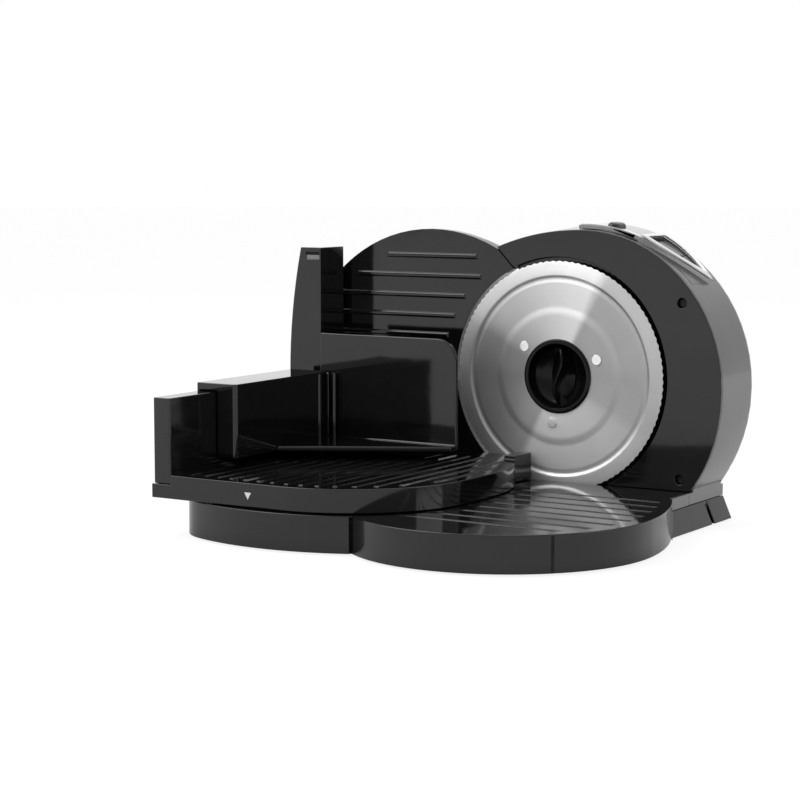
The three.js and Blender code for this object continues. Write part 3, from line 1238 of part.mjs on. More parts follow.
function makeMotorCap() {
  const top = MOTOR_BOTTOM - CLEAR;
  return turnedZ([[SHAFT_HOLE, top], [MOTOR_RADIUS, top], [MOTOR_RADIUS, top - MOTOR_CAP],
    [SHAFT_HOLE, top - MOTOR_CAP]], MOTOR_X, MOTOR_Y, ROUND_STEPS / 2);
}

function makeMotorBracket() {
  const half = MOTOR_RADIUS + BRACKET_MARGIN;
  const bottom = MOTOR_TOP + CLEAR;
  const plate = block(MOTOR_X - half, MOTOR_X + half, MOTOR_Y - MOTOR_RADIUS,
    HOUSING_INSIDE_BACK - CLEAR, bottom, bottom + BRACKET_THICKNESS);
  return plate.subtract(discZ(MOTOR_X, MOTOR_Y, WORM_RADIUS + RUNNING, 0, BLADE_HEIGHT,
    SMALL_STEPS));
}

function makeShaftBearing() {
  const body = block(MOTOR_X - BEARING_HALF_WIDTH, MOTOR_X + BEARING_HALF_WIDTH,
    MOTOR_Y - BEARING_HALF_WIDTH, HOUSING_INSIDE_BACK - CLEAR, BEARING_BOTTOM,
    BEARING_BOTTOM + BEARING_HEIGHT);
  return body.subtract(discZ(MOTOR_X, MOTOR_Y, SHAFT_RADIUS + CLEAR, 0,
    BEARING_BOTTOM + BEARING_HEIGHT + OVERRUN, SMALL_STEPS));
}

// Rotor pieces about the motor axis, with heights from the worktop
function makeMotorShaft() {
  const profile = [[0, MOTOR_BOTTOM - MOTOR_CAP], [SHAFT_RADIUS, MOTOR_BOTTOM - MOTOR_CAP],
    [SHAFT_RADIUS, WORM_BOTTOM]];
  for (let index = 0; index < WORM_RINGS; index += 1) {
    const from = WORM_BOTTOM + index * WORM_PITCH;
    profile.push([WORM_CORE, from], [WORM_RADIUS, from + WORM_PITCH / 2]);
  }
  profile.push([WORM_CORE, WORM_TOP], [SHAFT_RADIUS, WORM_TOP],
    [SHAFT_RADIUS, BEARING_BOTTOM + BEARING_HEIGHT], [0, BEARING_BOTTOM + BEARING_HEIGHT]);
  return turnedZ(profile, 0, 0, SMALL_STEPS);
}

function makeArmature() {
  const bore = SHAFT_RADIUS + CLEAR;
  const low = MOTOR_BOTTOM + ARMATURE_LIFT;
  const high = low + ARMATURE_LENGTH;
  return turnedZ([[bore, low], [ARMATURE_RADIUS, low], [ARMATURE_RADIUS, high], [bore, high]],
    0, 0, SMALL_STEPS);
}

function makeFan() {
  const top = MOTOR_TOP - MOTOR_WALL - FAN_DROP;
  let fan = discZ(0, 0, FAN_HUB_RADIUS, top - FAN_HEIGHT, top, SMALL_STEPS);
  for (let index = 0; index < FAN_BLADES; index += 1) {
    const vane = new THREE.BoxGeometry(FAN_RADIUS - FAN_HUB_RADIUS / 2, FAN_BLADE_THICKNESS,
      FAN_HEIGHT);
    vane.translate((FAN_RADIUS + FAN_HUB_RADIUS / 2) / 2, 0, top - FAN_HEIGHT / 2);
    fan = fan.add(solidOf(vane.rotateZ(index * FULL / FAN_BLADES)));
  }
  return fan.subtract(discZ(0, 0, SHAFT_RADIUS + CLEAR, 0, MOTOR_TOP, SMALL_STEPS));
}

// Thickness plate: a round plate with a bite for the blade, a straight foot and a slanted seam
function gaugeBody(inset, y0, y1) {
  const gap = RUNNING + inset;
  const reach = GAUGE_RADIUS;
  const [topX, topZ] = [SEAM_X + gap * SEAM_RUN_Z, SEAM_Z - gap * SEAM_RUN_X];
  const beyond = [topX - reach * SEAM_RUN_X, topZ - reach * SEAM_RUN_Z];
  const within = [topX + reach * SEAM_RUN_X, topZ + reach * SEAM_RUN_Z];
  const seamSide = polygon([beyond, within,
    [within[0] - reach * SEAM_RUN_Z, within[1] + reach * SEAM_RUN_X],
    [beyond[0] - reach * SEAM_RUN_Z, beyond[1] + reach * SEAM_RUN_X]]);
  let body = discY(GAUGE_X, GAUGE_Z, GAUGE_RADIUS - inset, y0, y1, FINE_STEPS);
  body = body.subtract(discY(0, BLADE_HEIGHT, BLADE_RADIUS + GAUGE_BLADE_GAP + inset,
    y0 - OVERRUN, y1 + OVERRUN, FINE_STEPS));
  body = body.subtract(block(GAUGE_X - GAUGE_RADIUS, GAUGE_X + GAUGE_RADIUS + OVERRUN,
    y0 - OVERRUN, y1 + OVERRUN, GAUGE_Z - GAUGE_RADIUS - OVERRUN,
    BASE_HEIGHT + GAUGE_LIFT + inset));
  body = body.subtract(block(OUTLET_X - gap, GAUGE_X + GAUGE_RADIUS + OVERRUN, y0 - OVERRUN,
    y1 + OVERRUN, 0, BLADE_HEIGHT));
  return body.subtract(upright(seamSide, y0 - OVERRUN, y1 + OVERRUN));
}

function gaugeRib(index) {
  const top = GAUGE_Z + GAUGE_RADIUS - GAUGE_RIB_DROP - index * GAUGE_RIB_PITCH;
  const half = halfChord(GAUGE_RADIUS - GAUGE_RIB_MARGIN, top - GAUGE_Z);
  const bite = halfChord(BLADE_RADIUS + GAUGE_BLADE_GAP + GAUGE_RIB_MARGIN, top - BLADE_HEIGHT);
  const right = Math.min(GAUGE_X + half, -bite);
  return block(GAUGE_X - half, right, -GAUGE_RIB_DEPTH, GAUGE_SKIN / 2, top - GAUGE_RIB_HEIGHT,
    top);
}

function makeGaugePlate() {
  let plate = gaugeBody(0, 0, GAUGE_RIM_DEPTH);
  plate = plate.subtract(gaugeBody(GAUGE_RIM, GAUGE_SKIN, GAUGE_RIM_DEPTH + OVERRUN));
  for (let index = 0; index < GAUGE_RIB_COUNT; index += 1) {
    plate = plate.add(gaugeRib(index));
  }
  return plate;
}

function carrierBody(gap, y0, y1) {
  return block(GUIDE_X - CARRIER_HALF_WIDTH - gap, GUIDE_X + CARRIER_HALF_WIDTH + gap, y0, y1,
    GUIDE_Z - CARRIER_HALF_HEIGHT - gap, GUIDE_Z + CARRIER_HALF_HEIGHT + gap);
}

function makeGaugeCover() {
  const front = GAUGE_RIM_DEPTH + CLEAR;
  const cover = gaugeBody(GAUGE_COVER_INSET, front, GAUGE_COVER_BACK);
  const room = gaugeBody(GAUGE_COVER_INSET + GAUGE_COVER_WALL, front - OVERRUN,
    GAUGE_COVER_BACK - GAUGE_COVER_WALL);
  return cover.subtract(room).subtract(carrierBody(CLEAR, 0, GAUGE_COVER_BACK + OVERRUN));
}

const ROD_PLACES = [GUIDE_X - ROD_OFFSET, GUIDE_X + ROD_OFFSET];

function makeCarrier() {
  const front = GAUGE_SKIN + CLEAR;
  let carrier = carrierBody(0, front, CARRIER_BACK);
  for (const x of ROD_PLACES) {
    carrier = carrier.subtract(discY(x, GUIDE_Z, ROD_RADIUS + CLEAR, front + CARRIER_SKIN,
      CARRIER_BACK + OVERRUN, SMALL_STEPS));
  }
  return carrier.subtract(discY(GUIDE_X, GUIDE_Z, SPINDLE_RADIUS + CLEAR,
    front + CARRIER_SKIN, CARRIER_BACK + OVERRUN, SMALL_STEPS));
}

function makeTurret() {
  const outer = RUNNING + TURRET_WALL;
  const front = GAUGE_COVER_BACK + GAUGE_TRAVEL + TURRET_FRONT_GAP;
  const left = GUIDE_X - CARRIER_HALF_WIDTH - outer;
  const right = GUIDE_X + CARRIER_HALF_WIDTH + outer;
  const floor = GUIDE_Z - CARRIER_HALF_HEIGHT - RUNNING;
  let turret = block(left, right, front, TURRET_BACK, BASE_HEIGHT + CLEAR,
    GUIDE_Z + CARRIER_HALF_HEIGHT + outer);
  turret = turret.subtract(carrierBody(RUNNING, front - OVERRUN, GUIDE_BACK));
  turret = turret.subtract(block(left + TURRET_WALL, right - TURRET_WALL, front + TURRET_WALL,
    GUIDE_BACK, BASE_HEIGHT - OVERRUN, floor - TURRET_WALL));
  for (const x of ROD_PLACES) {
    turret = turret.subtract(discY(x, GUIDE_Z, ROD_RADIUS + CLEAR, front,
      TURRET_BACK + OVERRUN, SMALL_STEPS));
  }
  return turret.subtract(discY(GUIDE_X, GUIDE_Z, SPINDLE_RADIUS + CLEAR, front,
    TURRET_BACK + OVERRUN, SMALL_STEPS));
}

function makeGuideRod(x) {
  return discY(x, GUIDE_Z, ROD_RADIUS, ROD_FRONT, TURRET_BACK, SMALL_STEPS);
}

// Thickness knob, its dial and spindle, about the spindle axis
function makeSpindle() {
  return discY(0, 0, SPINDLE_RADIUS, ROD_FRONT, KNOB_SEAT, SMALL_STEPS);
}

function makeDial() {
  const bore = SPINDLE_RADIUS + CLEAR;
  const [front, back] = [TURRET_BACK + CLEAR, KNOB_SEAT - CLEAR];
  return turnedY([[bore, front], [DIAL_RADIUS, front], [DIAL_RADIUS, back], [bore, back]], 0, 0,
    ROUND_STEPS);
}

function makeKnob() {
  const front = KNOB_SEAT + CLEAR;
  let knob = discY(0, 0, KNOB_CAP_RADIUS, front, KNOB_BACK, ROUND_STEPS);
  for (let index = 0; index < KNOB_LOBES; index += 1) {
    const angle = index * FULL / KNOB_LOBES;
    const radius = KNOB_RADIUS - KNOB_LOBE_RADIUS;
    knob = knob.add(discY(radius * Math.cos(angle), radius * Math.sin(angle), KNOB_LOBE_RADIUS,
      front, KNOB_BACK - KNOB_LOBE_RADIUS, TINY_STEPS));
  }
  return knob;
}

// Assembly. The origin lies under the middle of the slicer, on the worktop.
const slicer = new THREE.Group();
slicer.position.set(-(GAUGE_X - GAUGE_RADIUS + RIGHT_LOBE_X + RIGHT_LOBE_RADIUS) / 2,
  -(RIGHT_LOBE_Y - RIGHT_LOBE_RADIUS + KNOB_BACK) / 2, 0);

piece(slicer, 'base_upper', makeBaseUpper(), BLACK_GLOSS);
piece(slicer, 'base_cover', makeBaseCover(), BLACK_SATIN);
FOOT_PLACES.forEach((place, index) => {
  piece(slicer, `foot_${index + 1}`, makeFoot(place), RUBBER);
});
SCREW_PLACES.forEach((place, index) => {
  piece(slicer, `base_screw_${index + 1}`, makeBaseScrew(place), BRIGHT_STEEL);
});
piece(slicer, 'trim_band', makeTrimBand(), SILVER);
piece(slicer, 'guide_rail', makeRail(), BRUSHED_STEEL);
piece(slicer, 'front_panel', makePanel(), BLACK_GLOSS);
piece(slicer, 'rear_shell', makeShell(), SILVER);
piece(slicer, 'panel_screw_upper', makePanelScrew(PANEL_SCREW_HIGH), BRIGHT_STEEL);
piece(slicer, 'panel_screw_lower', makePanelScrew(PANEL_SCREW_LOW), BRIGHT_STEEL);
piece(slicer, 'blade_axle', makeAxle(), BRIGHT_STEEL);
piece(slicer, 'gear_pin', makeGearPin(), BRIGHT_STEEL);
piece(slicer, 'console', makeConsole(), SILVER);
piece(slicer, 'key_switch', makeKeySwitch(), GREY_PLASTIC);
piece(slicer, 'safety_switch', makeSafetySwitch(), GREY_PLASTIC);
piece(slicer, 'circuit_board', makeBoard(), BOARD_GREEN);
piece(slicer, 'capacitor', makeCapacitor(), GREY_PLASTIC);
piece(slicer, 'cord_gland', makeGland(), BLACK_SATIN);
piece(slicer, 'motor_can', makeMotorCan(), BRUSHED_STEEL);
piece(slicer, 'motor_end_cap', makeMotorCap(), BLACK_SATIN);
piece(slicer, 'motor_bracket', makeMotorBracket(), BRUSHED_STEEL);
piece(slicer, 'shaft_bearing', makeShaftBearing(), BRASS);
piece(slicer, 'turret', makeTurret(), SILVER);
piece(slicer, 'guide_rod_left', makeGuideRod(ROD_PLACES[0]), BRIGHT_STEEL);
piece(slicer, 'guide_rod_right', makeGuideRod(ROD_PLACES[1]), BRIGHT_STEEL);

// Keys and button that move along a radius of the housing
piece(slicer, 'run_key', makeKey(KEY_FROM, KEY_MIDDLE - KEY_GAP_ANGLE / 2), GREY_PLASTIC);
piece(slicer, 'pulse_key', makeKey(KEY_MIDDLE + KEY_GAP_ANGLE / 2, KEY_TO), GREY_PLASTIC);
piece(slicer, 'safety_button', makeSafetyButton(), BLACK_SATIN);

// Blade unit on its axis
const bladeUnit = new THREE.Group();
bladeUnit.position.set(0, 0, BLADE_HEIGHT);
slicer.add(bladeUnit);
piece(bladeUnit, 'blade', makeBlade(), BRUSHED_STEEL);
piece(bladeUnit, 'blade_gear', makeBladeGear(), NYLON);
piece(bladeUnit, 'blade_lock', makeLock(), BLACK_GLOSS);
rivetPlaces().forEach((place, index) => {
  piece(bladeUnit, `blade_rivet_${index + 1}`, makeRivet(place), BRIGHT_STEEL);
});
piece(slicer, 'reducer_gear', makeReducer(), NYLON).position.set(REDUCER_X, 0, BLADE_HEIGHT);

// Rotor on the motor axis
const rotor = new THREE.Group();
rotor.position.set(MOTOR_X, MOTOR_Y, 0);
slicer.add(rotor);
piece(rotor, 'motor_shaft', makeMotorShaft(), BRIGHT_STEEL);
piece(rotor, 'armature', makeArmature(), COPPER);
piece(rotor, 'motor_fan', makeFan(), BLACK_SATIN);

// Carriage with its wall, guard and remnant holder
const carriage = new THREE.Group();
slicer.add(carriage);
const glideFront = TABLE_FRONT + GLIDE_FRONT_INSET;
const glideRight = TABLE_CORNER_X + TABLE_CORNER_RADIUS - GLIDE_RIGHT_INSET;
piece(carriage, 'carriage_table', makeTable(), BLACK_GLOSS);
piece(carriage, 'glide_left', makeGlide(TABLE_LEFT + GLIDE_LEFT_INSET, glideFront), NYLON);
piece(carriage, 'glide_right', makeGlide(glideRight, TABLE_CORNER_Y), NYLON);
piece(carriage, 'trailing_wall', makeWall(), BLACK_GLOSS);
piece(carriage, 'finger_guard', makeGuard(), BLACK_GLOSS);
piece(carriage, 'holder_cap', makeHolderCap(), BLACK_GLOSS);
piece(carriage, 'pusher_plate', makePusher(), BLACK_GLOSS);

// Thickness plate unit
const gauge = new THREE.Group();
slicer.add(gauge);
piece(gauge, 'gauge_plate', makeGaugePlate(), BLACK_GLOSS);
piece(gauge, 'gauge_cover', makeGaugeCover(), SILVER);
piece(gauge, 'gauge_carrier', makeCarrier(), NYLON);

// Thickness knob unit on the spindle axis
const knobUnit = new THREE.Group();
knobUnit.position.set(GUIDE_X, 0, GUIDE_Z);
slicer.add(knobUnit);
piece(knobUnit, 'thickness_spindle', makeSpindle(), BRIGHT_STEEL);
piece(knobUnit, 'scale_dial', makeDial(), SILVER);
piece(knobUnit, 'thickness_knob', makeKnob(), BLACK_SATIN);

export default slicer;
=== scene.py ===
import math

import bmesh
import bpy
from mathutils import Matrix, Vector


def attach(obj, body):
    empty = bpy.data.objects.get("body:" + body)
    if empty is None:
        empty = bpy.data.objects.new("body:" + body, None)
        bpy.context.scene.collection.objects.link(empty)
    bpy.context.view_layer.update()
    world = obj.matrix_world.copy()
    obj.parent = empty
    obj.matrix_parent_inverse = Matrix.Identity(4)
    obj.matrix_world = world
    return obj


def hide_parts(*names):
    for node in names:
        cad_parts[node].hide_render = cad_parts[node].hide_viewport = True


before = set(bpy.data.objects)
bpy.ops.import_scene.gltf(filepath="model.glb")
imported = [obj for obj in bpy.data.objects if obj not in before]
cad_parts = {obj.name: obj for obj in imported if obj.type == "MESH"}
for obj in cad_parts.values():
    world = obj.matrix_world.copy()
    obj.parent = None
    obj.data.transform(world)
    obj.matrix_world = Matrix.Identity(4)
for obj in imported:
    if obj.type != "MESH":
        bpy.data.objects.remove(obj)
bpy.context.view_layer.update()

# Camera. It stands to the operator's right, a little above the worktop, and looks across the
# front of the blade with a long lens, so the blade shows as a slightly narrowed circle.
PHOTO_WIDTH = 800
FOCAL_PIXELS = 2149.17
CAMERA_PLACE = Vector((0.88592, -1.46385, 0.29377))
CAMERA_TURN = 0.5648
CAMERA_TILT = 0.11119

lens = bpy.data.cameras.new("camera")
lens.sensor_width = 36
lens.lens = FOCAL_PIXELS / PHOTO_WIDTH * lens.sensor_width
lens.clip_end = 60
camera = bpy.data.objects.new("camera", lens)
bpy.context.scene.collection.objects.link(camera)
aim = Vector((-math.sin(CAMERA_TURN) * math.cos(CAMERA_TILT),
              math.cos(CAMERA_TURN) * math.cos(CAMERA_TILT), -math.sin(CAMERA_TILT)))
camera.location = CAMERA_PLACE
camera.rotation_euler = aim.to_track_quat("-Z", "Y").to_euler()
bpy.context.scene.camera = camera
bpy.context.scene.view_settings.view_transform = "Standard"


# Moulded base. Two round lobes under the carriage and the blade, moulded in one piece of black
# ABS with polished faces, and shallow grooves across the right lobe that catch crumbs.
class Level:
    """One number that changes over a surface, so that sums of it read like plain sums."""

    def __init__(self, nodes, socket):
        self.nodes, self.socket = nodes, socket

    def work(self, operation, *values):
        # With no values given, the operation works on this number alone.
        node = self.nodes.add("ShaderNodeMath", {"operation": operation}, values or [self])
        return Level(self.nodes, node.outputs[0])

    def __add__(self, other):
        return self.work("ADD", self, other)

    def __sub__(self, other):
        return self.work("SUBTRACT", self, other)

    def __rsub__(self, other):
        return self.work("SUBTRACT", other, self)

    def __mul__(self, other):
        return self.work("MULTIPLY", self, other)

    def __truediv__(self, other):
        return self.work("DIVIDE", self, other)

    def __pow__(self, other):
        return self.work("POWER", self, other)

    def between(self, low, high):
        node = self.nodes.add("ShaderNodeMapRange", {"clamp": True},
                              {"Value": self, "From Min": low, "From Max": high})
        return Level(self.nodes, node.outputs[0])

    __radd__ = __add__
    __rmul__ = __mul__


class Nodes:
    """A node tree; add makes any node from its type, its settings and its inputs."""

    def __init__(self, tree):
        self.tree = tree
        tree.nodes.clear()

    def add(self, kind, settings=None, inputs=()):
        node = self.tree.nodes.new(kind)
        for key, value in (settings or {}).items():
            setattr(node, key, value)
        named = inputs.items() if isinstance(inputs, dict) else enumerate(inputs)
        for key, value in named:
            value = value.socket if isinstance(value, Level) else value
            if isinstance(value, bpy.types.NodeSocket):
                self.tree.links.new(value, node.inputs[key])
            else:
                node.inputs[key].default_value = value
        return node


class Finish(Nodes):
    """A material that varies with a piece's own coordinates, in metres."""

    def __init__(self, name):
        self.material = bpy.data.materials.new(name)
        self.material.use_nodes = True
        super().__init__(self.material.node_tree)
        self.coordinates = self.add("ShaderNodeTexCoord").outputs["Object"]

    def placed(self, centre=(0, 0, 0), stretch=(1, 1, 1)):
        shift = [-a * b for a, b in zip(centre, stretch)]
        return self.add("ShaderNodeMapping", {}, {
            "Vector": self.coordinates, "Location": shift, "Scale": stretch}).outputs[0]

    def axes(self, centre=(0, 0, 0)):
        split = self.add("ShaderNodeSeparateXYZ", {}, [self.placed(centre)])
        return [Level(self, socket) for socket in split.outputs]

    def grain(self, size, detail=3, stretch=(1, 1, 1)):
        node = self.add("ShaderNodeTexNoise", {}, {
            "Vector": self.placed(stretch=stretch), "Scale": 1 / size, "Detail": detail})
        return Level(self, node.outputs[0])

    def rings(self, distance, size, detail=3):
        node = self.add("ShaderNodeTexNoise", {"noise_dimensions": "1D"}, {
            "W": distance / size, "Detail": detail})
        return Level(self, node.outputs[0])

    def tint(self, share, first, second):
        # A colour Mix node has its factor at input 0 and its two colours at inputs 6 and 7.
        node = self.add("ShaderNodeMix", {"data_type": "RGBA"},
                        {0: share, 6: (*first, 1), 7: (*second, 1)})
        return node.outputs[2]

    def dress(self, colour, roughness, metallic=0.0, height=None, depth=0.0, bend=1.5, **fixed):
        # Bend is the index of refraction, depth the relief's height in metres.
        inputs = {"Base Color": colour, "Roughness": roughness, "Metallic": metallic,
                  "IOR": bend}
        if height is not None:
            bump = self.add("ShaderNodeBump", {}, {
                "Height": height, "Distance": depth, "Strength": 1.0})
            inputs["Normal"] = bump.outputs[0]
        inputs.update({name.replace("_", " ").title(): value for name, value in fixed.items()})
        surface = self.add("ShaderNodeBsdfPrincipled", {}, inputs)
        self.add("ShaderNodeOutputMaterial", {}, [surface.outputs[0]])
        return self.material


def moulded_plastic(name, dark, light, polish, wave, bend=1.5):
    # A polished mould leaves a faint long wave in the face, and handling leaves hazy patches.
    finish = Finish(name)
    haze = finish.grain(size=0.06, detail=4)
    fine = finish.grain(size=0.0009, detail=2)
    wiped = finish.grain(size=0.05, detail=5, stretch=(1, 0.25, 1.6)).between(0.45, 0.8)
    rough = haze.between(0.4, 0.75) * (polish * 0.45) + fine * (polish * 0.25) + polish * 0.75
    height = finish.grain(size=0.035, detail=2) * wave + fine * (wave * 0.012)
    return finish.dress(finish.tint(wiped, dark, light), rough, height=height, depth=0.001,
                        bend=bend)


black_gloss = moulded_plastic("black_gloss_plastic", (0.0035, 0.0035, 0.0038),
                              (0.0075, 0.0075, 0.008), polish=0.07, wave=0.10)

# Points closer than DOUBLE are one, or than TIGHT in a form of fine steps. Faces within FLAT are
# one, an edge is a corner that gets rounded from CORNER on, and past SHARP it is shaded crisp.
DOUBLE, TIGHT = 0.00004, 0.00001
FLAT = math.radians(0.6)
CORNER = math.radians(24)
SHARP = math.radians(38)
EVEN_WEIGHT = 80


def settle(form, name, finish, body, nodes=()):
    # Every finished piece lies at the origin, rides on its body and takes the solid's place.
    mesh = bpy.data.meshes.new(name)
    form.to_mesh(mesh)
    form.free()
    for face in mesh.polygons:
        face.use_smooth = True
    mesh.set_sharp_from_angle(angle=SHARP)
    mesh.materials.append(finish)
    piece = bpy.data.objects.new(name, mesh)
    bpy.context.scene.collection.objects.link(piece)
    weights = piece.modifiers.new("even_faces", "WEIGHTED_NORMAL")
    weights.keep_sharp = True
    weights.weight = EVEN_WEIGHT
    if nodes:
        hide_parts(*nodes)
    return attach(piece, body)


def solid_copy(node):
    # The solid's loose triangles become one closed form with whole flat faces.
    form = bmesh.new()
    form.from_mesh(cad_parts[node].data)
    bmesh.ops.remove_doubles(form, verts=form.verts, dist=DOUBLE)
    bmesh.ops.dissolve_limit(form, angle_limit=FLAT, verts=form.verts, edges=form.edges)
    return form


def rounded(form, radius, steps=2, corner=CORNER, chosen=lambda edge: True):
    edges = [edge for edge in form.edges if len(edge.link_faces) == 2
             and edge.calc_face_angle(0) > corner and chosen(edge)]
    bmesh.ops.bevel(form, geom=edges, offset=radius, offset_type="OFFSET", segments=steps,
                    profile=0.5, affect="EDGES", clamp_overlap=False, material=-1)
    return form


def softened(name, node, finish, body, radius, steps=2):
    return settle(rounded(solid_copy(node), radius, steps), name, finish, body, [node])


def upright(least):
    # Picks the upright edges that are at least this long.
    def long_upright(edge):
        run = edge.verts[0].co - edge.verts[1].co
        return abs(run.z) > least and math.hypot(run.x, run.y) < DOUBLE
    return long_upright


softened("moulded_base", "base_upper", black_gloss, "housing", radius=0.0007)

# Rim joint. The base's rim is closed by a narrow joint in front, shown as painted shade: a
# near-black upright strip that stands barely proud of the black plastic on the right lobe.
LOBE_CENTRE = Vector((0.084, -0.0528, 0))
LOBE_RADIUS = 0.121
SEAM_TURN = math.radians(-43)
SEAM_SIZE = (0.0004, 0.0022, 0.0265)
SEAM_MIDDLE = 0.0157
seam_form = bmesh.new()
bmesh.ops.create_cube(seam_form, size=1)
bmesh.ops.scale(seam_form, vec=SEAM_SIZE, verts=seam_form.verts)
bmesh.ops.translate(seam_form, vec=(LOBE_RADIUS, 0, SEAM_MIDDLE), verts=seam_form.verts)
bmesh.ops.rotate(seam_form, matrix=Matrix.Rotation(SEAM_TURN, 3, "Z"), verts=seam_form.verts)
bmesh.ops.translate(seam_form, vec=LOBE_CENTRE, verts=seam_form.verts)
# Near-black painted shade, for the rim joint, the holes of the sunk screws and the window's hood.
painted_shade_black = moulded_plastic("seam_shadow", (0.001, 0.001, 0.001), (0.002, 0.002, 0.002),
                             polish=0.8, wave=0.02)
settle(seam_form, "rim_joint", painted_shade_black, "housing")

# Base cover, feet and screws. A ribless sheet of satin plastic closes the base from below, held
# by four screws, and four rubber feet are pushed through it.
satin_black = moulded_plastic("satin_black_plastic", (0.006, 0.006, 0.0065),
                              (0.011, 0.011, 0.012), polish=0.34, wave=0.05)


def rubber_finish():
    finish = Finish("foot_rubber")
    speckle = finish.grain(size=0.0006)
    dust = finish.grain(size=0.008, detail=4).between(0.5, 0.8)
    return finish.dress(finish.tint(dust, (0.012, 0.012, 0.012), (0.03, 0.029, 0.027)),
                        speckle * 0.2 + 0.68, height=speckle, depth=0.00012)


def bright_metal(name, dark, light, rough, size):
    # Turned or plated metal: a fine grain of this size, and clouds where it has dulled.
    finish = Finish(name)
    lines = finish.grain(size=size, detail=4)
    cloud = finish.grain(size=0.012).between(0.35, 0.75)
    return finish.dress(finish.tint(cloud, dark, light), lines * rough + rough * 0.5,
                        metallic=1.0, height=lines, depth=0.00003)


def coat(material, *nodes):
    # A solid that needs no finer shape stays as it is and only gets its finish.
    for node in nodes:
        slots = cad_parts[node].data.materials
        slots.clear()
        slots.append(material)


rubber = rubber_finish()
bright_steel = bright_metal("bright_steel", (0.5, 0.5, 0.51), (0.66, 0.66, 0.67),
                            rough=0.18, size=0.0007)
softened("closing_sheet", "base_cover", satin_black, "housing",
         radius=0.0003, steps=1)
for count in range(1, 5):
    softened(f"pushed_foot_{count}", f"foot_{count}", rubber, "housing", radius=0.0004)
    softened(f"cover_screw_{count}", f"base_screw_{count}", bright_steel, "housing",
             radius=0.0003)

# Guide rail. A strip of drawn steel, ground on its faces and screwed along the deck. The
# carriage hooks over it and slides to and fro along the blade.
def drawn_steel():
    finish = Finish("drawn_steel")
    lines = finish.grain(size=0.0006, stretch=(0.02, 1, 1))
    soil = finish.grain(size=0.02, detail=4).between(0.45, 0.85)
    return finish.dress(finish.tint(soil, (0.5, 0.5, 0.51), (0.38, 0.37, 0.36)),
                        lines * 0.22 + 0.2, metallic=1.0, height=lines, depth=0.00004)


drawn = drawn_steel()
softened("ground_rail", "guide_rail", drawn, "housing", radius=0.0005)

# Trim band and housing shell. The shell is a deep pressing in silver metallic lacquer, drawn in
# towards its rounded back edge, and the band carries the same lacquer round the base's side.
def silver_lacquer(name, dark, light, shine):
    # Metal flakes under a clear coat, with the slight orange peel of sprayed lacquer.
    finish = Finish(name)
    flake = finish.grain(size=0.00035, detail=2)
    cloud = finish.grain(size=0.05, detail=4).between(0.35, 0.75)
    peel = finish.grain(size=0.0028, detail=2)
    return finish.dress(finish.tint(cloud * 0.6 + flake * 0.4, dark, light),
                        flake * 0.16 + shine, metallic=0.75, height=peel * 0.4 + flake * 0.1,
                        depth=0.00006, coat_weight=0.5, coat_roughness=0.08)


silver = silver_lacquer("silver_lacquer", (0.125, 0.125, 0.129), (0.17, 0.17, 0.174),
                        shine=0.28)
softened("side_band", "trim_band", silver, "housing", radius=0.0004)
softened("drawn_shell", "rear_shell", silver, "housing", radius=0.0008)

# Front panel. A flat plate of the same polished black plastic covers the shell's open front,
# with a round pan for the blade and two sunk screws at its right edge.
softened("panel_plate", "front_panel", black_gloss, "housing", radius=0.0006)
# The sunk screws are painted near black, as painted shade for the holes they sit in.
for level_name in ("upper", "lower"):
    softened(f"sunk_screw_{level_name}", f"panel_screw_{level_name}", painted_shade_black, "housing",
             radius=0.0003)

# Blade. A disc of ground stainless steel with a stepped hub, a shallow pressed ring and a wavy
# cutting edge. It is ground on a turntable, so all its fine scratches are circles.
BLADE_CENTRE = Vector((0.054, 0.0927, 0.117))
BLADE_WAVES = 100
WAVE_STEPS = 4
WAVE_DEPTH = 0.0009
EDGE_RADIUS, EDGE_BAND = 0.095, 0.0001
BLADE_PROFILE = [(0.0301, 0.0008), (0.0301, -0.0014), (0.0305, -0.0017), (0.0500, -0.0017),
                 (0.0520, -0.0016), (0.0545, -0.0012), (0.0565, -0.0007), (0.0585, -0.0006),
                 (0.0765, -0.0007), (0.0782, -0.0005), (0.0794, 0.0000), (0.0808, 0.0001),
                 (0.0819, -0.0004), (0.0829, -0.0013), (0.0838, -0.0014), (0.0870, -0.0012),
                 (0.0925, -0.0006), (0.0950, -0.0002), (0.0950, 0.0002), (0.0900, 0.0006),
                 (0.0820, 0.0008)]


def turned(profile, centre, steps, axis=Vector((0, 1, 0))):
    # A round piece, spun from the radius and the place along the axis of each profile point.
    side = Vector((1, 0, 0))
    form = bmesh.new()
    ring = [form.verts.new(centre + side * radius + axis * along) for radius, along in profile]
    edges = [form.edges.new(pair) for pair in zip(ring, ring[1:] + ring[:1])]
    bmesh.ops.spin(form, geom=ring + edges, cent=centre, axis=axis, angle=2 * math.pi,
                   steps=steps, use_merge=True, use_duplicate=False)
    bmesh.ops.remove_doubles(form, verts=form.verts, dist=TIGHT)
    bmesh.ops.recalc_face_normals(form, faces=form.faces)
    return form


BEVEL_START = 0.0822, 0.0828
# Painted highlight: the angles in radians at which the painted wedges rise, fall and fade.
HIGHLIGHT_RISE, HIGHLIGHT_FALL, HIGHLIGHT_TAIL = (1.12, 1.24), (1.45, 2.6), (2.6, 2.74)


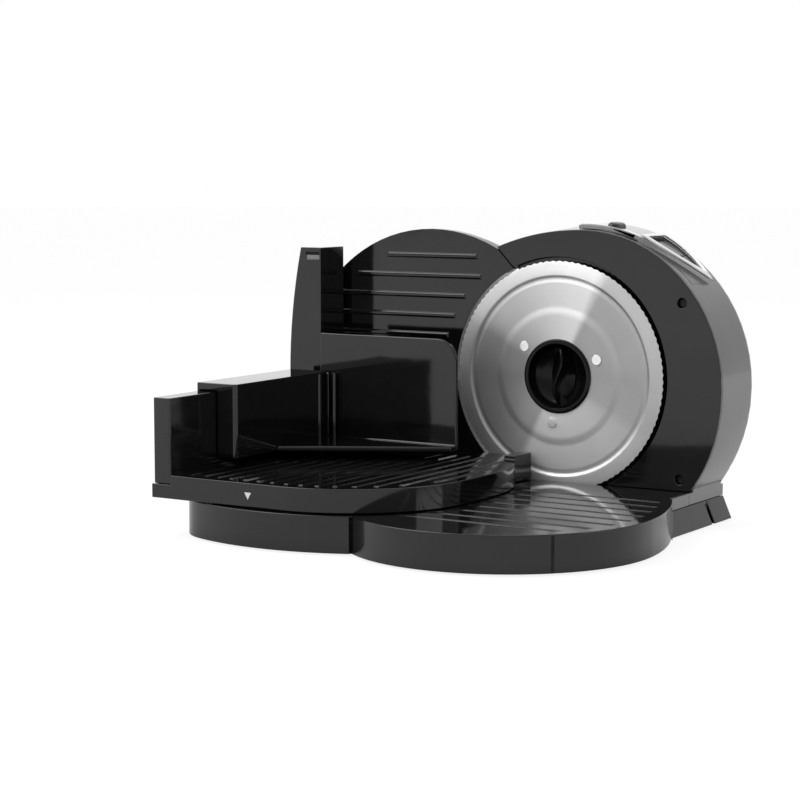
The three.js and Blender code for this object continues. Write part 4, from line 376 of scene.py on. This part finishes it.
def ground_blade():
    finish = Finish("blade_steel_painted_sheen")
    across, _, up = finish.axes(BLADE_CENTRE)
    distance = (across * across + up * up) ** 0.5
    scratches = finish.rings(distance, size=0.00022, detail=4)
    bands = finish.rings(distance, size=0.0016, detail=4)
    wear = finish.grain(size=0.03, detail=4).between(0.4, 0.8)
    edge = distance.between(*BEVEL_START)
    # Painted highlight: the colour is lighter in two opposite wedges, sharp on their clockwise
    # side,
    # where circular scratches would throw light, and it is lighter on the right than on the left.
    turn = up.work("ARCTAN2", up, across)
    half_turn = turn.work("WRAP", turn + bands * 0.12, math.pi, 0.0)
    painted_highlight = (half_turn.between(*HIGHLIGHT_RISE) - half_turn.between(*HIGHLIGHT_FALL) * 0.7
             - half_turn.between(*HIGHLIGHT_TAIL) * 0.3)
    # Painted light: the half that faces the worktop mirrors less of the room, so there the colour
    # is painted lighter and the metal hazier, to make up the light it lacks.
    low = (turn * -1).work("SINE").between(0.0, 0.8)
    share = (painted_highlight * 0.66 + turn.work("COSINE") * 0.14 + bands * 0.5 + wear * 0.06 - 0.1
             + edge * 0.18 + low * 0.28)
    colour = finish.tint(share.between(0.0, 1.0), (0.33, 0.33, 0.332), (0.96, 0.96, 0.965))
    rough = bands * 0.16 + scratches * 0.1 + 0.38
    # Less metal in the lower half is part of that painted lift; the rings vary it a little.
    haze = low * 0.2 + bands * 0.04
    return finish.dress(colour, rough, metallic=1.0 - haze, height=scratches + bands * 0.3,
                        depth=0.00006)


blade_form = turned(BLADE_PROFILE, BLADE_CENTRE, BLADE_WAVES * WAVE_STEPS)
for vertex in blade_form.verts:
    offset = vertex.co - BLADE_CENTRE
    radius = math.hypot(offset.x, offset.z)
    if radius > EDGE_RADIUS - EDGE_BAND:
        turn = math.atan2(offset.z, offset.x)
        share = (1 - math.cos(BLADE_WAVES * turn)) / 2
        scale = 1 - WAVE_DEPTH * share / radius
        vertex.co.x = BLADE_CENTRE.x + offset.x * scale
        vertex.co.z = BLADE_CENTRE.z + offset.z * scale
settle(blade_form, "ground_blade", ground_blade(), "blade_unit", ["blade"])
rivet_steel = bright_metal("rivet_steel", (0.8, 0.8, 0.81), (0.92, 0.92, 0.93),
                           rough=0.2, size=0.002)
for count in range(1, 4):
    softened(f"gear_rivet_{count}", f"blade_rivet_{count}", rivet_steel, "blade_unit",
             radius=0.0003)

# Gear train. The blade's ring gear, the reducer and the worm are moulded and turned parts that
# run in grease behind the panel; the pale nylon is dulled by it.
def nylon_finish():
    finish = Finish("natural_nylon")
    cloud = finish.grain(size=0.01, detail=4).between(0.3, 0.8)
    fine = finish.grain(size=0.0007)
    return finish.dress(finish.tint(cloud, (0.62, 0.6, 0.53), (0.72, 0.7, 0.63)),
                        fine * 0.2 + 0.32, height=fine, depth=0.00004, subsurface_weight=0.05)


nylon = nylon_finish()
coat(nylon, "blade_gear", "reducer_gear", "gauge_carrier")
coat(bright_steel, "gear_pin", "blade_axle", "motor_shaft")

# Blade lock. A deep cup of smooth black plastic, hooked over the axle, and across it a grip that
# twists like a propeller, broad at the floor and thin at its crest, for finger and thumb.
LOCK_PROFILE = [(0, 0.0111), (0.0100, 0.0107), (0.0180, 0.0094), (0.0236, 0.0070),
                (0.0258, 0.0036), (0.0264, -0.0022), (0.0268, -0.0031), (0.0276, -0.0034),
                (0.0296, -0.0034), (0.0304, -0.0030), (0.0308, -0.0023), (0.0308, -0.0018),
                (0.0293, -0.0018), (0.0293, 0.0116), (0, 0.0116)]
LOCK_STEPS = 96
GRIP_HALF = 0.0252
GRIP_STATIONS = 28
GRIP_FLOOR, GRIP_CREST = 0.0113, -0.0026
GRIP_BELLY, GRIP_END = 0.0105, 0.0010
GRIP_TWIST, GRIP_DROP = 0.0034, 0.0050


def grip_section(along):
    # The grip's cut at a place from -1 to 1 along it, as points from its left foot over the
    # crest to its right foot. Each side is a share of the lean, a half width and a depth.
    width = GRIP_BELLY * (1 - along * along) ** 0.75 + GRIP_END
    lean = GRIP_TWIST * math.sin(math.pi * along)
    crest = GRIP_CREST + GRIP_DROP * along ** 4
    middle = (GRIP_FLOOR + crest) / 2
    side = [(0, width, GRIP_FLOOR), (0, width * 0.94, GRIP_FLOOR - 0.0022),
            (0.6, width * 0.42, middle + 0.0008), (1, 0.0016, crest + 0.0022),
            (1, 0.0011, crest + 0.0004), (1, 0.0004, crest)]
    return ([(lean * share - half, depth) for share, half, depth in side]
            + [(lean * share + half, depth) for share, half, depth in reversed(side)])


lock_black = moulded_plastic("lock_plastic", (0.0028, 0.0028, 0.003), (0.005, 0.005, 0.0055),
                             polish=0.22, wave=0.05, bend=1.3)
lock_form = turned(LOCK_PROFILE, BLADE_CENTRE, LOCK_STEPS)
grip_points = len(grip_section(0))
made = bmesh.ops.create_grid(lock_form, x_segments=grip_points - 1,
                             y_segments=GRIP_STATIONS, size=1)["verts"]
for vertex in made:
    index = round((vertex.co.x + 1) / 2 * (grip_points - 1))
    across, depth = grip_section(vertex.co.y)[index]
    vertex.co = BLADE_CENTRE + Vector((across, depth, vertex.co.y * GRIP_HALF))
grip_faces = [face for face in lock_form.faces if face.verts[0] in set(made)]
border = [edge for edge in {edge for face in grip_faces for edge in face.edges}
          if edge.is_boundary]
bmesh.ops.contextual_create(lock_form, geom=border)
bmesh.ops.recalc_face_normals(lock_form, faces=lock_form.faces)
settle(lock_form, "lock_cup", lock_black, "blade_lock", ["blade_lock"])

# Console. A silver saddle over the shell's right shoulder: a sunk tray for the two keys inside
# a bright plated frame, and a low pod beside it for the round-ended safety button.
HOUSING_CENTRE = Vector((0.074, 0.0, 0.1125))
LEAF_START, LEAF_TIP = math.radians(68), math.radians(40.2)
LEAF_FRONT, LEAF_BACK, LEAF_POINT = 0.1004, 0.1412, 0.1290
FRONT_BULGE, BACK_BULGE = 0.1002, 0.1416
LEAF_REACH, LEAF_BOW = 0.1306, 0.0012
LEAF_POINTS = 24
MEAN_REACH = 0.13


def on_housing(turn, along, reach):
    # A place given by its angle, its depth behind the origin and its distance from the axis.
    return HOUSING_CENTRE + Vector((reach * math.cos(turn), along, reach * math.sin(turn)))


def leaf_edge(near, margin):
    # One side of the pointed opening, from its blunt upper end to its lower tip: the angle and
    # the depth of each point, and how far it dips below the ends. A margin draws the side in, and
    # the sharp tip twice as far as the blunt end.
    side, bulge = ((LEAF_FRONT + margin, FRONT_BULGE + margin) if near
                   else (LEAF_BACK - margin, BACK_BULGE - margin))
    slip = margin / MEAN_REACH
    places = []
    for count in range(LEAF_POINTS + 1):
        share = count / LEAF_POINTS
        turn = (LEAF_START - slip) * (1 - share) + (LEAF_TIP + 2 * slip) * share
        along = (side * (1 - share) ** 2 + 2 * bulge * share * (1 - share)
                 + LEAF_POINT * share ** 2)
        places.append((turn, along, LEAF_BOW * math.sin(math.pi * share)))
    return places


def in_leaf(turn, along, margin):
    # Whether a place lies inside the opening, drawn in by a margin.
    front, back = [min(leaf_edge(near, margin), key=lambda place: abs(place[0] - turn))[1]
                   for near in (True, False)]
    return front < along < back


def leaf_ring(form, inset, reach):
    # One closed loop round the opening, inset from its edge, at a distance from the axis.
    ring = leaf_edge(True, inset) + leaf_edge(False, inset)[-2::-1]
    made = bmesh.ops.create_circle(form, segments=len(ring), radius=1)["verts"]
    for vertex, (turn, along, dip) in zip(made, ring):
        vertex.co = on_housing(turn, along, reach - dip)
    return list({edge for vertex in made for edge in vertex.link_edges})


def thickened(form, thickness):
    # The open sheet is turned to look upwards and then gets its thickness: downwards, or
    # upwards where that is negative.
    bmesh.ops.recalc_face_normals(form, faces=form.faces)
    if sum(face.normal.z for face in form.faces) < 0:
        bmesh.ops.reverse_faces(form, faces=form.faces)
    bmesh.ops.solidify(form, geom=form.faces[:], thickness=thickness)
    bmesh.ops.recalc_face_normals(form, faces=form.faces)
    return form


def leaf_frame(margin, width, rise):
    # A flat band round the opening, raised above the shell and eased at its edges.
    form = bmesh.new()
    loops = (leaf_ring(form, margin, LEAF_REACH)
             + leaf_ring(form, margin + width, LEAF_REACH))
    bmesh.ops.bridge_loops(form, edges=loops)
    return rounded(thickened(form, -rise), radius=0.0004, corner=math.radians(50))


def leaf_body(steps):
    # Loops bridged one after another make the body; the last is closed as the tray's floor.
    form = bmesh.new()
    loops = [leaf_ring(form, inset, reach) for inset, reach in steps]
    for outer, inner in zip(loops, loops[1:]):
        bmesh.ops.bridge_loops(form, edges=outer + inner)
    for loop in (loops[0], loops[-1]):
        bmesh.ops.contextual_create(form, geom=loop)
    bmesh.ops.triangulate(form, faces=[face for face in form.faces if len(face.verts) > 4])
    bmesh.ops.recalc_face_normals(form, faces=form.faces)
    return form


plated = bright_metal("plated_trim", (0.62, 0.62, 0.63), (0.74, 0.74, 0.75),
                      rough=0.16, size=0.004)
console_silver = silver_lacquer("console_lacquer", (0.24, 0.24, 0.245), (0.3, 0.3, 0.305),
                                shine=0.2)
SADDLE_CUT = math.radians(67.2)
saddle_form = solid_copy("console")
bmesh.ops.bisect_plane(
    saddle_form, geom=saddle_form.verts[:] + saddle_form.edges[:] + saddle_form.faces[:],
    dist=TIGHT, plane_co=HOUSING_CENTRE, clear_outer=True,
    plane_no=Vector((math.sin(SADDLE_CUT), 0, -math.cos(SADDLE_CUT))))
bmesh.ops.holes_fill(saddle_form, sides=0,
                     edges=[edge for edge in saddle_form.edges if edge.is_boundary])
settle(rounded(saddle_form, radius=0.0006), "console_saddle", console_silver, "housing",
       ["console"])
# The tray's loops, each with its inset and its distance from the axis: up its outer wall, over
# the rim and down to a floor that leaves room for the pressed keys.
TRAY_LOOPS = [(0.0026, 0.1194), (-0.0004, 0.1238), (0.0002, 0.1284), (0.0010, 0.1300),
              (0.0016, 0.1300), (0.0040, 0.1300), (0.0042, 0.1268), (0.0046, 0.1208)]
settle(leaf_body(TRAY_LOOPS), "key_tray", console_silver, "housing")
settle(leaf_frame(margin=0.0006, width=0.0042, rise=0.0016), "key_frame", plated, "housing")

# Shoulder plate. A thin lacquered sheet lies over the shell's opening round the tray and closes
# the corners that the pointed frame leaves free.
PLATE_TURNS = math.radians(41.4), math.radians(67.4)
PLATE_ALONGS = 0.1030, 0.1404
PLATE_MARGIN, PLATE_THICKNESS = 0.0022, 0.0009
SHELL_START, SHELL_REACH, SHELL_SLOPE = 0.096, 0.12508, 0.0612


def lay_out(form, turns, alongs):
    # A unit grid takes the angles across it and the depths along it.
    for vertex in form.verts:
        vertex.co = (turns[0] + (vertex.co.x + 0.5) * (turns[1] - turns[0]),
                     alongs[0] + (vertex.co.y + 0.5) * (alongs[1] - alongs[0]), 0)


plate_form = bmesh.new()
bmesh.ops.create_grid(plate_form, x_segments=52, y_segments=40, size=0.5)
lay_out(plate_form, PLATE_TURNS, PLATE_ALONGS)
bmesh.ops.delete(plate_form, context="FACES", geom=[
    face for face in plate_form.faces
    if in_leaf(face.calc_center_median().x, face.calc_center_median().y, PLATE_MARGIN)])
for vertex in plate_form.verts:
    turn, along, _ = vertex.co
    vertex.co = on_housing(turn, along, SHELL_REACH + SHELL_SLOPE * (along - SHELL_START))
settle(thickened(plate_form, PLATE_THICKNESS), "shoulder_plate", silver, "housing")

# Pod trim and slot. A bright plated strip edges the front of the safety button's pod, and a dark
# grey wedge in its front face paints the shade in the narrow slot beneath the strip.
POD_TURNS = math.radians(67), math.radians(92)
POD_ALONGS = 0.1007, 0.1049
POD_REACH, POD_THICKNESS = 0.1293, 0.0005
pod_form = bmesh.new()
bmesh.ops.create_grid(pod_form, x_segments=16, y_segments=1, size=0.5)
lay_out(pod_form, POD_TURNS, POD_ALONGS)
for vertex in pod_form.verts:
    turn, along, _ = vertex.co
    vertex.co = on_housing(turn, along, POD_REACH)
settle(thickened(pod_form, -POD_THICKNESS), "pod_trim", plated, "housing")

# The slot's corners, each with its angle in degrees and its distance from the axis.
SLOT_ALONG, SLOT_THICKNESS = 0.1003, 0.0004
SLOT_CORNERS = [(70.2, 0.1268), (78.5, 0.1282), (79.0, 0.1289), (70.0, 0.1291)]
slot_form = bmesh.new()
made = bmesh.ops.create_circle(slot_form, cap_ends=True, segments=4, radius=1)["verts"]
for vertex, (degrees, reach) in zip(made, SLOT_CORNERS):
    vertex.co = on_housing(math.radians(degrees), SLOT_ALONG, reach)
bmesh.ops.solidify(slot_form, geom=slot_form.faces[:], thickness=SLOT_THICKNESS)
bmesh.ops.recalc_face_normals(slot_form, faces=slot_form.faces)
# Painted shade: a darker lacquer fills the slot.
slot_shade_grey = silver_lacquer("slot_painted_shade", (0.05, 0.05, 0.052), (0.075, 0.075, 0.078),
                           shine=0.3)
settle(slot_form, "pod_slot", slot_shade_grey, "housing")

# Keys and safety button. Two curved keys in grey plastic sit side by side in the tray, and the
# button is a black capsule that has to be held before the motor runs.
key_grey = moulded_plastic("key_plastic", (0.02, 0.02, 0.021), (0.03, 0.03, 0.031),
                           polish=0.16, wave=0.05)
# Each cut runs from an upper place on the tray's side to a lower one: degrees and depth.
KEY_CUTS = [(68, 0.1002, 54, 0.1072), (54, 0.1072, 40.2, 0.1280),
            (68, 0.1416, 54, 0.1378), (54, 0.1378, 40.2, 0.1300)]
KEY_MARGIN = 0.0058
TRAY_MIDDLE = 0.12


def leaf_trimmed(form, margin):
    # The keys taper to a point with the tray; flat cuts follow its two sides.
    for upper, upper_along, lower, lower_along in KEY_CUTS:
        ends = [on_housing(math.radians(degrees), along, MEAN_REACH)
                for degrees, along in ((upper, upper_along), (lower, lower_along))]
        middle = math.radians((upper + lower) / 2)
        outward = Vector((math.cos(middle), 0, math.sin(middle))).cross(ends[1] - ends[0])
        outward.normalize()
        if (outward.y > 0) == (upper_along < TRAY_MIDDLE):
            outward.negate()
        bmesh.ops.bisect_plane(form, geom=form.verts[:] + form.edges[:] + form.faces[:],
                               dist=TIGHT, plane_co=ends[0] - outward * margin,
                               plane_no=outward, clear_outer=True)
        rim = [edge for edge in form.edges if edge.is_boundary]
        bmesh.ops.holes_fill(form, edges=rim, sides=0)
    bmesh.ops.recalc_face_normals(form, faces=form.faces)
    return form


for key in ("run_key", "pulse_key"):
    key_form = rounded(leaf_trimmed(solid_copy(key), KEY_MARGIN), radius=0.0007, steps=3)
    settle(key_form, f"{key}_cap", key_grey, key, [key])
softened("safety_cap", "safety_button", satin_black, "safety_button",
         radius=0.0034, steps=6)

# Motor and electrics. Nothing of these shows from outside, but each has its own stuff: plated
# can, copper winding, green board, grey switch bodies.
def winding_finish():
    finish = Finish("copper_winding")
    _, _, up = finish.axes()
    turns = finish.rings(up, size=0.0006, detail=1)
    return finish.dress(finish.tint(turns, (0.32, 0.1, 0.035), (0.55, 0.2, 0.08)),
                        turns * 0.2 + 0.3, metallic=0.9, height=turns, depth=0.0002)


def board_finish():
    finish = Finish("circuit_board_green")
    tracks = finish.add("ShaderNodeTexVoronoi", {"feature": "DISTANCE_TO_EDGE"}, {
        "Vector": finish.placed(), "Scale": 260})
    line = Level(finish, tracks.outputs[0]).between(0.02, 0.05)
    return finish.dress(finish.tint(line, (0.03, 0.17, 0.07), (0.01, 0.08, 0.035)),
                        line * 0.1 + 0.3, height=line, depth=0.00003)


bronze = bright_metal("bearing_bronze", (0.36, 0.22, 0.06), (0.48, 0.31, 0.1),
                      rough=0.3, size=0.0009)
coat(drawn, "motor_can", "motor_bracket")
coat(winding_finish(), "armature")
coat(board_finish(), "circuit_board")
coat(bronze, "shaft_bearing")
coat(key_grey, "key_switch", "safety_switch", "capacitor")
coat(satin_black, "motor_end_cap", "motor_fan")

# Cord gland. A round bushing of satin plastic pressed into the back of the shell, where a cord
# would leave; the photograph shows none.
softened("cord_bushing", "cord_gland", satin_black, "housing", radius=0.0005)

# Carriage. A polished black table with raised ribs that carry the food, two nylon glides under
# it, a hollow wall along its left edge and a tall guard that keeps fingers off the blade.
coat(nylon, "glide_left", "glide_right")
softened("ribbed_table", "carriage_table", black_gloss, "carriage", radius=0.0006)
LONG_UPRIGHT = 0.03
wall_form = rounded(solid_copy("trailing_wall"), radius=0.0016, steps=4,
                    chosen=upright(LONG_UPRIGHT))
settle(rounded(wall_form, radius=0.0007), "guide_wall", black_gloss, "carriage",
       ["trailing_wall"])
softened("finger_shield", "finger_guard", black_gloss, "carriage",
         radius=0.0006, steps=3)

# Guard's end. A small pale grey window sits near the guard's top under a near-black hood of
# painted shade, and a fine bead runs down the guard's outer edge.
def pale_window():
    finish = Finish("pale_window")
    window_grain = finish.grain(size=0.001)
    return finish.dress(finish.tint(window_grain, (0.16, 0.16, 0.158), (0.24, 0.24, 0.237)),
                        window_grain * 0.2 + 0.25, height=window_grain, depth=0.00002)


def guard_block(low, high):
    # A block between its lowest and its highest corner.
    form = bmesh.new()
    bmesh.ops.create_cube(form, size=1)
    low, high = Vector(low), Vector(high)
    bmesh.ops.scale(form, vec=high - low, verts=form.verts)
    bmesh.ops.translate(form, vec=(low + high) / 2, verts=form.verts)
    return form


window_form = guard_block((-0.1702, 0.0521, 0.2091), (-0.1562, 0.0541, 0.2131))
settle(rounded(window_form, radius=0.0004), "guard_window", pale_window(), "carriage")
# The hood is a near-black block of painted shade over the window.
hood_form = guard_block((-0.1702, 0.0520, 0.2133), (-0.1562, 0.0541, 0.2172))
settle(rounded(hood_form, radius=0.0004), "window_hood", painted_shade_black, "carriage")
bead_form = guard_block((-0.17335, 0.0518, 0.1180), (-0.17285, 0.0535, 0.2160))
settle(rounded(bead_form, radius=0.00015), "guard_bead", black_gloss, "carriage")

# Rest mark. A small white triangle printed on the carriage's rim points down at the place where
# the carriage stands at rest.
def white_ink():
    finish = Finish("white_ink")
    wear = finish.grain(size=0.0008)
    return finish.dress(finish.tint(wear.between(0.4, 0.9), (0.78, 0.78, 0.77),
                                    (0.6, 0.6, 0.6)),
                        wear * 0.2 + 0.4, height=wear, depth=0.00002)


MARK_PLACE = Vector((-0.0786, -0.1584, 0.0402))
MARK_RADIUS, INK_THICKNESS = 0.0036, 0.0004
mark_form = bmesh.new()
bmesh.ops.create_cone(mark_form, cap_ends=True, segments=3, radius1=MARK_RADIUS,
                      radius2=MARK_RADIUS, depth=INK_THICKNESS)
bmesh.ops.rotate(mark_form, verts=mark_form.verts, matrix=Matrix.Rotation(math.pi, 3, "Z"))
bmesh.ops.rotate(mark_form, verts=mark_form.verts, matrix=Matrix.Rotation(math.pi / 2, 3, "X"))
bmesh.ops.translate(mark_form, verts=mark_form.verts, vec=MARK_PLACE)
settle(mark_form, "rest_mark", white_ink(), "carriage")

# Remnant holder. A long cap straddles the wall and a broad plate with a sloping foot hangs from
# it; short spikes on the plate's far face grip the last of the food.
CAP_SIDE = -0.1357


def on_side(edge):
    # The cap's right side, away from the wall, has rounder corners than its rims.
    return upright(LONG_UPRIGHT)(edge) and edge.verts[0].co.x > CAP_SIDE


cap_form = rounded(solid_copy("holder_cap"), radius=0.0034, steps=5, chosen=on_side)
settle(rounded(cap_form, radius=0.0008), "straddling_cap", black_gloss, "remnant_holder",
       ["holder_cap"])
softened("food_pusher", "pusher_plate", black_gloss, "remnant_holder",
         radius=0.0011, steps=4)
# Two round beads stiffen the corner between the cap and the plate.
BEAD_PROFILE = [(0, 0), (0.0020, 0), (0.0020, 0.0560), (0.0017, 0.0567), (0.0010, 0.0570),
                (0, 0.0570)]
BEAD_STEPS = 40
BEADS = [("cap_bead", (-0.1362, 0.0215, 0.0580)), ("plate_bead", (-0.1298, 0.0346, 0.0580))]
for name, place in BEADS:
    bead_form = turned(BEAD_PROFILE, Vector(place), BEAD_STEPS, Vector((0, 0, 1)))
    settle(bead_form, name, black_gloss, "remnant_holder")

# Thickness plate. A round black plate beside the blade, with five raised bars over which the
# food slides, a silver cover behind it and the guide that carries both on two steel rods.
PLATE_FACE, BAR_RISE = 0.0927, 0.001


def on_bar(edge):
    # The bars stand out towards the food, and their edges are rounder than the plate's rim.
    return all(vertex.co.y < PLATE_FACE - BAR_RISE for vertex in edge.verts)


plate_form = rounded(solid_copy("gauge_plate"), radius=0.0014, steps=5, chosen=on_bar)
settle(rounded(plate_form, radius=0.0004, corner=math.radians(40)), "thickness_plate",
       black_gloss, "gauge", ["gauge_plate"])
softened("plate_cover", "gauge_cover", silver, "gauge", radius=0.0008)
softened("guide_block", "turret", silver, "housing", radius=0.0009, steps=3)
coat(bright_steel, "guide_rod_left", "guide_rod_right", "thickness_spindle")

# Thickness knob. A fluted black knob at the back over a silver dial with a scale of fine and
# broad strokes.
STROKE_CENTRE = Vector((-0.096, 0.1566, 0.080))
STROKE_RADIUS = 0.0249
STROKES, FULL_ROUND, BROAD_EVERY = 30, 36, 5
BROAD_STROKE, FINE_STROKE = (0.0026, 0.0004, 0.0006), (0.0016, 0.0004, 0.0004)
softened("scale_disc", "scale_dial", console_silver, "knob", radius=0.0003)
softened("fluted_knob", "thickness_knob", satin_black, "knob", radius=0.0006)
stroke_form = bmesh.new()
for count in range(STROKES):
    angle = 2 * math.pi * count / FULL_ROUND
    size = FINE_STROKE if count % BROAD_EVERY else BROAD_STROKE
    made = bmesh.ops.create_cube(stroke_form, size=1)["verts"]
    bmesh.ops.scale(stroke_form, verts=made, vec=size)
    bmesh.ops.translate(stroke_form, verts=made, vec=(STROKE_RADIUS, 0, 0))
    bmesh.ops.rotate(stroke_form, verts=made, matrix=Matrix.Rotation(angle, 3, "Y"))
    bmesh.ops.translate(stroke_form, verts=made, vec=STROKE_CENTRE)
settle(stroke_form, "scale_strokes", satin_black, "knob")

# Studio. A seamless white floor and a white surround, with one large soft box in front at the
# left, one above and one at the right, light the black plastic through what it mirrors.
FLOOR_RADIUS = 12
WHITE = (1, 1, 1, 1)
PAPER = (0.6, 0.6, 0.6, 1)
FLOOR_GLOW, CAMERA_SHARE = 1.15, 0.75
NEAR, FAR = 0.3, 1.8
GLOSS_SHARE, GLOSS_GAIN = 0.3, 0.7


def studio_floor():
    # The floor keeps a soft shadow, and from NEAR to FAR its glow shows more in what mirrors it.
    finish = Finish("pale_floor")
    rays = finish.add("ShaderNodeLightPath")
    paper = finish.add("ShaderNodeBsdfDiffuse", {}, {"Color": PAPER})
    glow = finish.add("ShaderNodeEmission", {}, {"Color": WHITE, "Strength": FLOOR_GLOW})
    across, along, _ = finish.axes()
    far = ((across * across + along * along) ** 0.5).between(NEAR, FAR)
    share = (Level(finish, rays.outputs["Is Camera Ray"]) * CAMERA_SHARE
             + Level(finish, rays.outputs["Is Glossy Ray"]) * (far * GLOSS_GAIN + GLOSS_SHARE))
    mixed = finish.add("ShaderNodeMixShader", {}, [share, paper.outputs[0], glow.outputs[0]])
    finish.add("ShaderNodeOutputMaterial", {}, [mixed.outputs[0]])
    return finish.material


floor_form = bmesh.new()
bmesh.ops.create_circle(floor_form, cap_ends=True, segments=64, radius=FLOOR_RADIUS)
floor_mesh = bpy.data.meshes.new("floor")
floor_form.to_mesh(floor_mesh)
floor_form.free()
floor_mesh.materials.append(studio_floor())
floor = bpy.data.objects.new("floor", floor_mesh)
bpy.context.scene.collection.objects.link(floor)

world = bpy.data.worlds.new("studio")
world.use_nodes = True
bpy.context.scene.world = world
sky = Nodes(world.node_tree)
rays = sky.add("ShaderNodeLightPath")
direction = sky.add("ShaderNodeTexCoord").outputs["Generated"]
parts = sky.add("ShaderNodeSeparateXYZ", {}, [direction]).outputs
east, north, height = (Level(sky, part) for part in parts)
# The backdrop behind the slicer and the diffuser above it are brighter than the room in front.
# The backdrop lies to the north west, where the photograph's camera looks.
BACK_NORTH, BACK_WEST = 0.845, 0.535
ROOM, DIFFUSER, BACKDROP = 0.45, 0.35, 0.75
backdrop = (north * BACK_NORTH - east * BACK_WEST).between(0.2, 0.9)
above = height.between(0.35, 0.75)
strength = above * DIFFUSER + backdrop * BACKDROP + ROOM
soft = sky.add("ShaderNodeBackground", {}, {"Color": WHITE, "Strength": strength})
white = sky.add("ShaderNodeBackground", {}, {"Color": WHITE, "Strength": 1.0})
mixed = sky.add("ShaderNodeMixShader", {}, [
    rays.outputs["Is Camera Ray"], soft.outputs[0], white.outputs[0]])
sky.add("ShaderNodeOutputWorld", {}, [mixed.outputs[0]])

# Each soft box: its place, its side in metres and its power in watts.
LIT_PLACE = Vector((0, 0, 0.1))
SOFT_BOXES = [("key_box", (-1.05, -0.85, 1.50), 1.5, 25),
              ("top_box", (0.1, 0.5, 1.7), 1.2, 6),
              ("right_box", (1.7, 0.3, 0.7), 0.9, 5)]
for name, place, size, power in SOFT_BOXES:
    lamp = bpy.data.lights.new(name, "AREA")
    lamp.shape, lamp.size, lamp.energy = "SQUARE", size, power
    box = bpy.data.objects.new(name, lamp)
    box.location = place
    box.rotation_euler = (LIT_PLACE - Vector(place)).to_track_quat("-Z", "Y").to_euler()
    bpy.context.scene.collection.objects.link(box)
